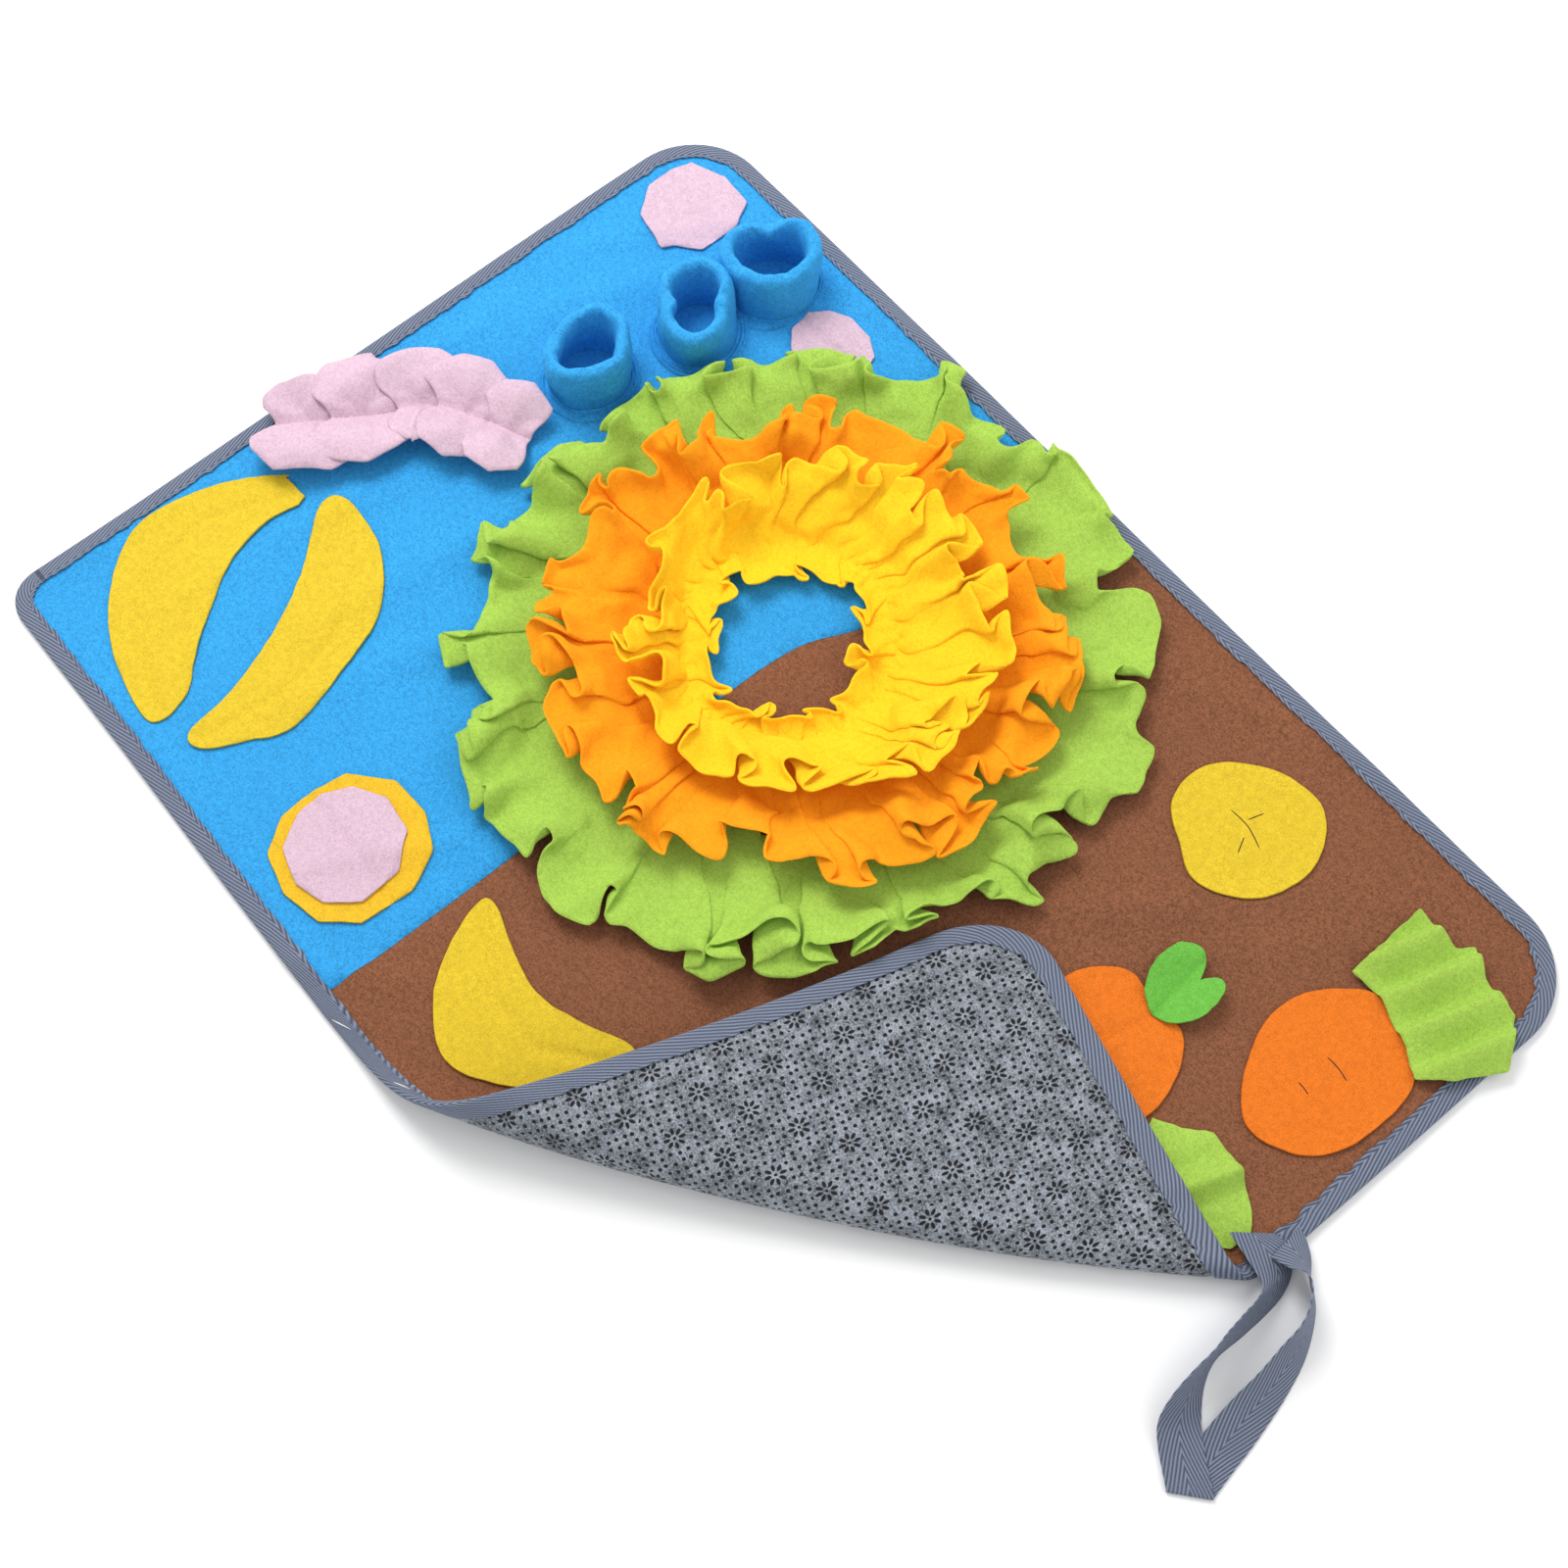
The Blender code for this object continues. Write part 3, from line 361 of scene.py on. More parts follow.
def piece(name, points, faces, slot, stands_for=None, places=None, sharp=60):
    """A shown piece: a mesh, its material, the node it stands for and its places in metres of cloth."""
    mesh = bpy.data.meshes.new(name)
    mesh.from_pydata([tuple(p) for p in points], [], [tuple(f) for f in faces])
    if places is not None:
        layer = mesh.uv_layers.new(name="cloth")
        corner = np.empty(len(mesh.loops), np.int32)
        mesh.loops.foreach_get("vertex_index", corner)
        layer.data.foreach_set("uv", np.asarray(places, np.float32)[corner].ravel())
    mesh.materials.append(SHADERS[slot])
    mesh.shade_smooth()
    mesh.set_sharp_from_angle(angle=math.radians(sharp))
    made = bpy.data.objects.new(name, mesh)
    bpy.context.scene.collection.objects.link(made)
    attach(made, "root")
    if stands_for:
        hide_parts(stands_for)
    return made


def triangulated(outlines, inner, keep):
    """(points, triangles) of a flat sheet with these closed outlines and points inside."""
    points, edges = [], []
    for outline in outlines:
        first = len(points)
        points += [Vector(p) for p in outline]
        edges += [(first + i, first + (i + 1) % len(outline)) for i in range(len(outline))]
    points += [Vector(p) for p in inner]
    made = delaunay_2d_cdt(points, edges, [], 0, 1e-6)
    verts = np.array([tuple(v) for v in made[0]])
    faces = np.array([tuple(f) for f in made[2]])
    faces = faces[keep(verts[faces].mean(1))]
    used, where = np.unique(faces, return_inverse=True)
    return verts[used], where.reshape(faces.shape)


def hex_grid(low, high, step):
    """Points in staggered rows."""
    rows = np.arange(low[1], high[1], step * math.sqrt(3) / 2)
    columns = np.arange(low[0], high[0], step)
    return np.array([(x + step / 2 * (k % 2), y) for k, y in enumerate(rows) for x in columns])


def filled(outline, step):
    """A flat sheet within the outline, in triangles of about that size."""
    grid = hex_grid(np.min(outline, 0), np.max(outline, 0), step)
    odd, near = sides(grid, outline)
    inner = grid[odd & (near > step * EDGE_ROOM)]
    return triangulated([outline], inner, lambda middle: sides(middle, outline)[0])


def thick(lower, upper, triangles):
    """(points, faces, place of each point in its layer) of a closed sheet between two layers."""
    count = len(lower)
    edges = dict.fromkeys(edge for a, b, c in triangles.tolist() for edge in ((a, b), (b, c), (c, a)))
    edges = [edge for edge in edges if edge[::-1] not in edges]
    border = sorted({a for a, _ in edges})
    where = {old: 2 * count + new for new, old in enumerate(border)}
    ahead, back = dict(edges), {b: a for a, b in edges}
    middle, up = (lower + upper) / 2, (upper - lower)[border]
    line = middle[[ahead[p] for p in border]] - middle[[back[p] for p in border]]
    bulge = middle[border] + unit(np.cross(line, up)) * length_of(up)[:, None] * RIM_BULGE
    faces = [tuple(f[::-1]) for f in triangles] + [tuple(f + count) for f in triangles]
    for a, b in edges:
        faces.append((a, b, where[b], where[a]))
        faces.append((where[a], where[b], b + count, a + count))
    return np.concatenate([lower, upper, bulge]), faces, [*range(count), *range(count), *border]


def cut_shape(outline, step, rough, seed):
    """(cut line, points, triangles) of a flat piece whose cut line strays by that much."""
    cut = jagged(spaced(outline, step * CUT_SHARE, closed=True), rough, seed)
    return cut, *filled(cut, step)


def cut_piece(name, slot, places, low, high, triangles):
    """A cut piece of cloth between two heights above places on the mat."""
    layers = (settle(np.column_stack([places, height])) for height in (low, high))
    points, faces, _ = thick(*layers, triangles)
    return piece(name + "_cloth", points, faces, slot, name)


def swept(rows, closed):
    """Faces between rows of points, each row a ring round the piece."""
    count, around = rows.shape[:2]
    faces = []
    for i in range(count if closed else count - 1):
        here, there = i * around, (i + 1) % count * around
        for k in range(around):
            follow = (k + 1) % around
            faces.append((here + k, there + k, there + follow, here + follow))
    return faces


def thread_and_shade_strips(name, lines, radius, kind):
    """Thin round tubes along lines, in one piece, tapered at their ends: threads, and the dark strips of
    painted shade in slits.
    """
    points, faces = [], []
    turns = (np.arange(6) * math.pi / 3)[:, None]
    for line in lines:
        along = unit(np.gradient(line, axis=0))
        side = unit(np.cross(along, (0, 0, 1)))
        upward = np.cross(side, along)
        wide = radius * (1 - 0.75 * np.linspace(-1, 1, len(line)) ** 8)[:, None, None]
        rings = line[:, None] + wide * (np.cos(turns) * side[:, None] + np.sin(turns) * upward[:, None])
        first = len(points)
        last = first + 6 * (len(line) - 1)
        points.extend(rings.reshape(-1, 3))
        faces += [tuple(first + corner for corner in face[::-1]) for face in swept(rings, closed=False)]
        faces += [tuple(range(first + 5, first - 1, -1)), tuple(range(last, last + 6))]
    return piece(name, points, faces, kind)


# Materials: small node trees.


class Tree:
    """A material's nodes, made one after another."""

    def __init__(self, name, roughness, sheen, tint, specular=0.2):
        self.material = bpy.data.materials.new(name)
        self.material.use_nodes = True
        self.nodes = self.material.node_tree.nodes
        self.links = self.material.node_tree.links
        self.shader = self.nodes["Principled BSDF"]
        for key, value in (("Roughness", roughness), ("Sheen Weight", sheen), ("Sheen Roughness", 0.5),
                           ("Sheen Tint", (*tint, 1.0)), ("Specular IOR Level", specular)):
            self.shader.inputs[key].default_value = value

    def node(self, kind, values=(), **settings):
        """A node with its settings, and with values or sockets for its inputs by name or number."""
        made = self.nodes.new(kind)
        for key, value in settings.items():
            setattr(made, key, value)
        for key, value in dict(values).items():
            if isinstance(value, bpy.types.NodeSocket):
                self.links.new(value, made.inputs[key])
            else:
                made.inputs[key].default_value = value
        return made

    def math(self, operation, *values):
        return self.node("ShaderNodeMath", enumerate(values), operation=operation).outputs[0]

    def add(self, first, second):
        return self.math("ADD", first, second)

    def times(self, first, second):
        return self.math("MULTIPLY", first, second)

    def weighted(self, *terms):
        """The sum of sockets, each times its weight."""
        total = 0.0
        for value, weight in terms:
            total = self.math("MULTIPLY_ADD", value, weight, total)
        return total

    def size(self, x, y):
        return self.math("SQRT", self.add(self.math("POWER", x, 2.0), self.math("POWER", y, 2.0)))

    def centred(self, value, period, shift):
        """How far a value is from the middle of its period."""
        moved = self.add(value, shift)
        return self.math("SUBTRACT", self.math("FLOORED_MODULO", moved, period), period / 2)

    def noise(self, scale, detail=2.0, roughness=0.5):
        place = self.node("ShaderNodeTexCoord").outputs["Object"]
        values = {"Vector": place, "Scale": scale, "Detail": detail, "Roughness": roughness}
        return self.node("ShaderNodeTexNoise", values).outputs["Fac"]

    def cloth(self):
        """The place on the cloth, and its x and y."""
        place = self.node("ShaderNodeUVMap", uv_map="cloth").outputs[0]
        split = self.node("ShaderNodeSeparateXYZ", {0: place})
        return place, split.outputs[0], split.outputs[1]

    def range(self, value, from_low, from_high, to_low=0.0, to_high=1.0):
        values = {"Value": value, "From Min": from_low, "From Max": from_high,
                  "To Min": to_low, "To Max": to_high}
        return self.node("ShaderNodeMapRange", values).outputs[0]

    def blend(self, factor, first, second):
        """A colour between two, each a colour or a socket."""
        first, second = ((*c, 1.0) if isinstance(c, tuple) else c for c in (first, second))
        made = self.node("ShaderNodeMix", {0: factor, 6: first, 7: second}, data_type="RGBA")
        return made.outputs[2]

    def finish(self, colour, height, distance, strength):
        bump = self.node("ShaderNodeBump", {"Height": height, "Distance": distance, "Strength": strength})
        self.links.new(colour, self.shader.inputs["Base Color"])
        self.links.new(bump.outputs[0], self.shader.inputs["Normal"])
        return self.material


def shaded(colour, factor):
    return tuple(min(c * factor, 1.0) for c in colour)


def fleece(name, colour, pile, deep):
    """Brushed fleece: a matt pile of small tufts, a little darker between them, lighter where worn."""
    tree = Tree(name, 0.95, 0.35, shaded(colour, 1.6))
    grain = tree.weighted((tree.noise(640.0, 3.0, 0.68), 0.72), (tree.noise(260.0), 0.28))
    shade = tree.range(grain, 0.38, 0.60)
    tone, bright = (tree.blend(shade, shaded(colour, deep * more), shaded(colour, most))
                    for more, most in ((1.0, 1.12), (1.10, 1.22)))
    worn = tree.range(tree.noise(14.0), 0.35, 0.7, 0.0, 0.6)
    return tree.finish(tree.blend(worn, tone, bright), grain, 0.0016 * pile, 0.8)


def felt(name, colour):
    """Brushed felt: flatter than fleece, with short fibres."""
    tree = Tree(name, 0.95, 0.25, shaded(colour, 1.5))
    grain = tree.weighted((tree.noise(900.0, 3.0, 0.7), 0.7), (tree.noise(240.0, 3.0, 0.6), 0.3))
    tone = tree.blend(tree.range(grain, 0.36, 0.64), shaded(colour, 0.70), shaded(colour, 1.12))
    return tree.finish(tone, grain, 0.0015, 0.8)


TWILL_PITCH = 0.0076
TWILL_BAND = 0.0150
TWILL_SLOPE = 3.0
TWILL_THREAD = 0.0009


def twill(name, colour):
    """Herringbone tape: ribs that slant one way and then the other in bands along the tape."""
    tree = Tree(name, 0.75, 0.15, (0.7, 0.75, 0.85))
    _, along, across = tree.cloth()
    slant = tree.add(along, tree.times(tree.math("PINGPONG", across, TWILL_BAND), TWILL_SLOPE))
    ribs, strands = (tree.math("SINE", tree.times(place, 2 * math.pi / pitch))
                     for place, pitch in ((slant, TWILL_PITCH), (across, TWILL_THREAD)))
    height = tree.weighted((ribs, 0.5), (strands, 0.10), (tree.noise(1400.0), 0.5))
    tone = tree.blend(tree.range(height, -0.30, 0.70), shaded(colour, 0.30), shaded(colour, 1.60))
    faded = tree.range(tree.noise(60.0), 0.3, 0.7, 0.0, 0.3)
    return tree.finish(tree.blend(faded, tone, shaded(colour, 0.9)), height, 0.0005, 0.9)


DOT_PITCH = 0.0060
DOT_RADIUS = 0.00140
DOT_BLUR = 0.0001
DOT_WANDER = 0.32
FLOWER_PITCH = 0.0508
FLOWER_REACH = 0.0092
FLOWER_MIDDLE = 0.0011
FLOWER_PETALS = 8
PRINT_PETAL = (0.0052, 0.0025, 0.0013)  # how far out, half length, half width


def staggered(tree, x, y, pitch):
    """(x, y, distance) from the nearest point of a staggered grid."""
    grids = [[tree.centred(value, pitch, shift + 50 * pitch) for value in (x, y)]
             for shift in (0.0, pitch / 2)]
    first, second = (tree.size(*grid) for grid in grids)
    closer = tree.math("LESS_THAN", first, second)
    further = tree.math("SUBTRACT", 1.0, closer)
    chosen = (tree.weighted((a, closer), (b, further)) for a, b in zip(*grids))
    return (*chosen, tree.math("MINIMUM", first, second))


def printed_felt(name, colour, ink):
    """Grey mixed felt with a printed grip: rubber dots, and small flowers among them."""
    tree = Tree(name, 0.9, 0.2, (0.8, 0.85, 0.9))
    place, x, y = tree.cloth()
    grain = tree.weighted((tree.noise(700.0, 4.0, 0.7), 0.62), (tree.noise(70.0, 4.0, 0.65), 0.38))
    tone = tree.blend(tree.range(grain, 0.40, 0.60), shaded(colour, 0.24), shaded(colour, 1.70))
    dots = tree.node("ShaderNodeTexVoronoi", {
        "Vector": place, "Scale": 1 / DOT_PITCH, "Randomness": DOT_WANDER}, voronoi_dimensions="2D")
    uneven = tree.times(tree.math("SUBTRACT", tree.noise(200.0, 1.0), 0.5), 0.0004)
    dot = tree.add(tree.times(dots.outputs["Distance"], DOT_PITCH), uneven)
    in_dot = tree.range(dot, DOT_RADIUS - DOT_BLUR, DOT_RADIUS + DOT_BLUR, 1.0, 0.0)
    flower_x, flower_y, flower = staggered(tree, x, y, FLOWER_PITCH)
    sector = 2 * math.pi / FLOWER_PETALS
    turned = tree.centred(tree.math("ARCTAN2", flower_y, flower_x), sector, 8 * math.pi + sector / 2)
    out, half_length, half_width = PRINT_PETAL
    along = tree.math("SUBTRACT", tree.times(flower, tree.math("COSINE", turned)), out)
    across = tree.times(flower, tree.math("SINE", turned))
    petal = tree.size(tree.math("DIVIDE", along, half_length), tree.math("DIVIDE", across, half_width))
    in_petal = tree.range(petal, 0.85, 1.10, 1.0, 0.0)
    in_middle = tree.range(flower, FLOWER_MIDDLE - DOT_BLUR, FLOWER_MIDDLE + DOT_BLUR, 1.0, 0.0)
    clear = tree.math("GREATER_THAN", flower, FLOWER_REACH)
    mark = tree.math("MAXIMUM", tree.times(in_dot, clear), tree.math("MAXIMUM", in_petal, in_middle))
    height = tree.weighted((grain, 0.8), (mark, 0.35))
    return tree.finish(tree.blend(mark, tone, ink), height, 0.0010, 0.7)


# The look of the white threads, and of the dark strips of painted shade in the slits.
def thread_and_shade_look(name, colour):
    tree = Tree(name, 0.6, 0.1, (1.0, 1.0, 1.0))
    strands = tree.noise(2600.0, 1.0)
    tone = tree.blend(strands, shaded(colour, 0.8), shaded(colour, 1.15))
    return tree.finish(tone, strands, 0.0002, 0.5)


MATERIALS = (  # slot, way of making, colour, then fleece's pile and shade between its tufts, or the ink
    ("blue_fleece", fleece, (0.038, 0.350, 0.760), 1.0, 0.68),
    ("brown_fleece", fleece, (0.258, 0.100, 0.049), 1.0, 0.54),
    ("green_fleece", fleece, (0.348, 0.545, 0.080), 0.7, 0.82),
    ("orange_fleece", fleece, (1.000, 0.325, 0.008), 0.6, 0.86),
    ("yellow_fleece", fleece, (1.000, 0.545, 0.014), 0.5, 0.88),
    ("pink_fleece", fleece, (0.610, 0.432, 0.525), 0.7, 0.86),
    ("yellow_felt", felt, (0.800, 0.565, 0.033)),
    ("amber_felt", felt, (0.900, 0.535, 0.028)),
    ("orange_felt", felt, (0.880, 0.205, 0.018)),
    ("leaf_felt", felt, (0.170, 0.540, 0.072)),
    ("grey_tape", twill, (0.152, 0.177, 0.245)),
    ("grey_felt", printed_felt, (0.205, 0.224, 0.256), (0.012, 0.012, 0.014)),
    # Dark strips in the slits of the lemon and the carrot: painted shade where the cut opens, not thread.
    ("dark_thread", thread_and_shade_look, (0.045, 0.022, 0.008)),
    ("white_thread", thread_and_shade_look, (0.75, 0.75, 0.75)),
)


# The mat.

FINE_STEP = 0.0055
COARSE_STEP = 0.0095
OUTLINE_STEP = 0.005
FOLD_MARGIN = 0.015


def mat_points():
    """Points all over the flat mat, closer together where the fold bends it."""
    low, high = (-LENGTH / 2, -WIDTH / 2), (LENGTH / 2, WIDTH / 2)
    fine, coarse = hex_grid(low, high, FINE_STEP), hex_grid(low, high, COARSE_STEP)
    bent = fold_places(fine)[1] > -FOLD_MARGIN
    flat = fold_places(coarse)[1] <= -FOLD_MARGIN - COARSE_STEP / 2
    points = np.concatenate([fine[bent], coarse[flat]])
    return points[edge_depth(points) > SHEET_INSET + FINE_STEP / 2]


def mat_sheet(name, slot, floor, thickness, seam_side):
    """A sheet of the mat, whole, or the part of it on one side of the seam (-1 or 1)."""
    edge, inward = rim(OUTLINE_STEP)
    outlines = [edge + inward * SHEET_INSET]
    inner = mat_points()
    if seam_side:
        across = np.linspace(-0.55, 0.55, 276) * WIDTH
        crossing = np.stack([seam_x(across) + seam_side * GAP / 2, across], 1)
        beyond = np.array([(seam_side * LENGTH, WIDTH), (seam_side * LENGTH, -WIDTH)])
        outlines.append(np.concatenate([crossing, beyond]))
        inner = inner[np.abs(past_seam(inner)) > FINE_STEP / 2]

    def keep(middle):
        return (edge_depth(middle) > SHEET_INSET - 1e-6) & (past_seam(middle) * seam_side >= 0)

    flat, triangles = triangulated(outlines, inner, keep)
    lift = floor + rise(flat)
    dip = abs(seam_side) * SEAM_DIP * bell(past_seam(flat) / SEAM_REACH)
    layers = (settle(lay(flat, height)) for height in (lift, lift + thickness - dip))
    points, faces, source = thick(*layers, triangles)
    return piece(name + "_cloth", points, faces, slot, name, flat[source], 50)


def make_mat():
    backing = mat_sheet("backing", "grey_felt", 0.0, BACKING, 0)
    blue = mat_sheet("top_blue", "blue_fleece", TOP_FLOOR, FLEECE, -1)
    brown = mat_sheet("top_brown", "brown_fleece", TOP_FLOOR, FLEECE, 1)


# The binding.

BINDING_STEP = 0.0035
BINDING_SECTION = (  # inset, height: round the tape from its inner edge below to its inner edge on top
    (1.00, 0.0000), (0.60, 0.0000), (0.18, 0.0000), (0.05, 0.0008), (0.00, 0.0022), (0.00, 0.0040),
    (0.05, 0.0054), (0.16, 0.0060), (0.45, 0.0060), (0.74, 0.0058), (0.80, 0.0054), (0.86, 0.0058),
    (1.00, 0.0062),
)
SECTION_HEIGHT = 0.0060
TAPE_THIN = 0.85  # of the inner face's distance, over the tape's thickness
TAPE_CURL = (0.0005, 0.020)  # of the inner edge: height, size
TAPE_PUFF = (0.0004, 0.035)  # of the outer edge: height, size
WAVER = 0.0018
WAVER_SIZE = 0.009
SLOW_WAVER = (0.6, 3.7)  # share of the first one, and size over it
RAGGED = (  # stretches where the inner edge is uneven: x, y, reach, how far
    (0.470, 0.290, 0.110, 0.0052), (0.500, 0.100, 0.110, 0.0036), (-0.480, -0.320, 0.050, 0.0026),
    (0.0, 0.350, 0.120, 0.0024), (-0.020, -0.350, 0.060, 0.0030),
)
TACKS = ((-0.054, -0.350), (0.024, -0.350))  # where a white thread crosses the tape
TACK_RADIUS = 0.0005
TACK_SPAN = (0.10, 0.70)  # share of the tape's width


def fold_direction(points, inward):
    """The way from the cut edge into the mat: square to the edge, or along the fold where it bends."""
    _, reach, share = fold_places(points)
    bend = bend_radius(share) * (math.pi + FLAP_SLOPE)
    turn = np.clip(reach, 0, bend) / bend_radius(share)
    ahead, behind = share + SHARE_STEP, share - SHARE_STEP
    drift = (bend_radius(ahead) - bend_radius(behind)) * turn + bow(ahead) - bow(behind)
    fold = FOLD_ALONG + FOLD_OUTWARD * (drift / (2 * SHARE_STEP * FOLD_LENGTH))[:, None]
    fold = fold / np.sum(fold * inward, axis=1)[:, None]
    outside = np.maximum(np.maximum(-reach, reach - bend), 0)
    return mix(inward, fold, 1 - smooth(outside / BINDING_BLEND)[:, None])


def binding_waver(points, run, seed):
    """How far the tape's inner edge strays along the rim."""
    amount = np.full(len(points), WAVER)
    for x, y, reach, far in RAGGED:
        gap = np.hypot(points[:, 0] - x, points[:, 1] - y) / reach
        amount = np.maximum(amount, far * np.exp(-gap**2 * 1.5))
    share, slower = SLOW_WAVER
    waver = line_noise(run, WAVER_SIZE, seed) + share * line_noise(run, WAVER_SIZE * slower, seed + 4)
    return amount * waver


def make_binding():
    """The tape's section, a thin C that opens into the mat, swept round the edge."""
    points, inward = rim(BINDING_STEP)
    run = run_along(points)
    into = fold_direction(points, inward)
    stray = binding_waver(points, run, 11.0), binding_waver(points, run, 31.0)
    curl = TAPE_CURL[0] * np.maximum(line_noise(run, TAPE_CURL[1], 2.0), 0)
    puff = TAPE_PUFF[0] * line_noise(run, TAPE_PUFF[1], 6.0)
    outer = through(BINDING_SECTION, 2, closed=False)
    middle = EDGE_HEIGHT / 2
    lanes = []
    for back, (share, height) in [(False, row) for row in outer] + [(True, row) for row in outer[::-1]]:
        side = int(height > middle)
        inset = share * (BINDING_WIDTH + stray[side] * share**2)
        if back:
            inset = np.maximum(inset, TAPE) if share < 0.97 else inset
            height = height + TAPE * TAPE_THIN * (1 - 2 * side)
            height = np.clip(height, TAPE * TAPE_THIN, EDGE_HEIGHT - TAPE * 0.9) if share < 0.9 else height
        elif height < SECTION_HEIGHT + 0.0001:
            height = height * EDGE_HEIGHT / SECTION_HEIGHT
        height = height + side * (puff * (1 - share) + curl * share**6)
        lanes.append(settle(lay(points + into * inset[:, None], height)))
    across = run_along(outer * (BINDING_WIDTH, 1))
    places = [np.stack([run, run * 0 + v], 1) for v in [*across, *across[::-1]]]
    lanes, places = np.stack(lanes, 1), np.stack(places, 1)
    made = piece("binding_tape", lanes.reshape(-1, 3), swept(lanes, closed=True), "grey_tape", "binding",
                 places.reshape(-1, 2), 50)
    first, last = TACK_SPAN
    top = [k for k, (share, height) in enumerate(outer) if height > middle and first < share < last]
    stations = [int(length_of(points - place).argmin()) for place in TACKS]
    lines = [lanes[station, top] + (0, 0, TACK_RADIUS) for station in stations]
    thread_and_shade_strips("binding_tacks", lines, TACK_RADIUS, "white_thread")


# The strap.

STRAP_WIDTH = 0.030
STRAP_THICKNESS = 0.0013
STRAP_RUN_OUT = (  # x, y, height of the lower edge (mm), turn of the width, its tilt (degrees)
    (475, 42, 7.8, 50, 8), (491, 41, 8.0, 74, 8), (506, 36, 5.6, 88, 18), (513, 22, 1.0, 70, 42),
    (515, 6, 0.0, 60, 54), (516, -12, 0.0, 56, 64), (517, -31, 0.0, 46, 79), (520, -49, 0.0, 50, 66),
    (526, -66, 0.4, 50, 42), (535, -80, 1.4, 50, 14), (550, -91, 1.8, 46, 0),
)
STRAP_CREASE = (570, -103, 41)  # x, y, turn
STRAP_RUN_BACK = (
    (563, -72, 0.0, 22, 0), (558, -40, 0.0, 14, 24), (555, -18, 0.0, 12, 40), (550, 5, 0.0, 16, 52),
    (544, 24, 0.0, 30, 68), (534, 40, 0.0, 46, 76), (521, 49, 1.2, 68, 78), (508, 53, 7.4, 96, 40),
    (494, 55, 8.2, 95, 8),
)
STRAP_STEPS = 8
STRAP_LIFT = 0.0001
STRAP_LANES = 13
CREASE_SKEW = math.radians(14)
CREASE_STEPS = 8


def strap_station(x, y, lift, turn, tilt):
    """(middle, half of the width) of the tape: its right edge is down, its left edge up."""
    turn, tilt = math.radians(turn), math.radians(tilt)
    half = STRAP_WIDTH / 2 * np.array((
        math.cos(turn) * math.cos(tilt), math.sin(turn) * math.cos(tilt), -math.sin(tilt)))
    low = STRAP_THICKNESS / 2 * math.cos(tilt) + STRAP_LIFT
    return np.array((x / 1000, y / 1000, lift / 1000 + low + STRAP_WIDTH / 2 * math.sin(tilt))), half


def make_strap():
    """The tape runs out, turns under itself at a crease and comes back beneath."""
    out, back = ([strap_station(*s) for s in through(run, STRAP_STEPS, closed=False)]
                 for run in (STRAP_RUN_OUT, STRAP_RUN_BACK))
    x, y, turn = STRAP_CREASE
    heading = np.array((math.sin(math.radians(turn)), -math.cos(math.radians(turn)), 0.0))
    low, half = strap_station(x, y, 0.0, turn, 0.0)
    apart = (STRAP_THICKNESS + GAP) / 2
    crease = []
    for angle in np.linspace(0, math.pi, CREASE_STEPS + 1):
        middle = low + (0, 0, apart + apart * math.cos(angle)) + heading * apart * math.sin(angle)
        crease.append((middle, half / math.cos(CREASE_SKEW)))
    middles, halves = (np.array(column) for column in zip(*out, *crease, *back))
    up = unit(np.cross(halves, np.gradient(middles, axis=0)))
    run = run_along(middles)
    shares = np.linspace(-1, 1, STRAP_LANES)
    lanes, places = [], []
    for side in (-1, 1):
        for share in shares[:: -side]:
            thin = STRAP_THICKNESS / 2 * (1 - 0.35 * share**8)
            lanes.append(middles + halves * share + up * side * thin)
            places.append(np.stack([run, run * 0 + (share + 1) * STRAP_WIDTH / 2], 1))
    lanes, places = np.stack(lanes, 1), np.stack(places, 1)
    around = lanes.shape[1]
    last = (len(lanes) - 1) * around
    faces = swept(lanes, closed=False) + [tuple(range(around))[::-1], tuple(range(last, last + around))]
    made = piece("strap_tape", lanes.reshape(-1, 3), faces, "grey_tape", "strap", places.reshape(-1, 2), 50)


# The flat pieces sewn on. Outlines and lines of stitching are in millimetres.

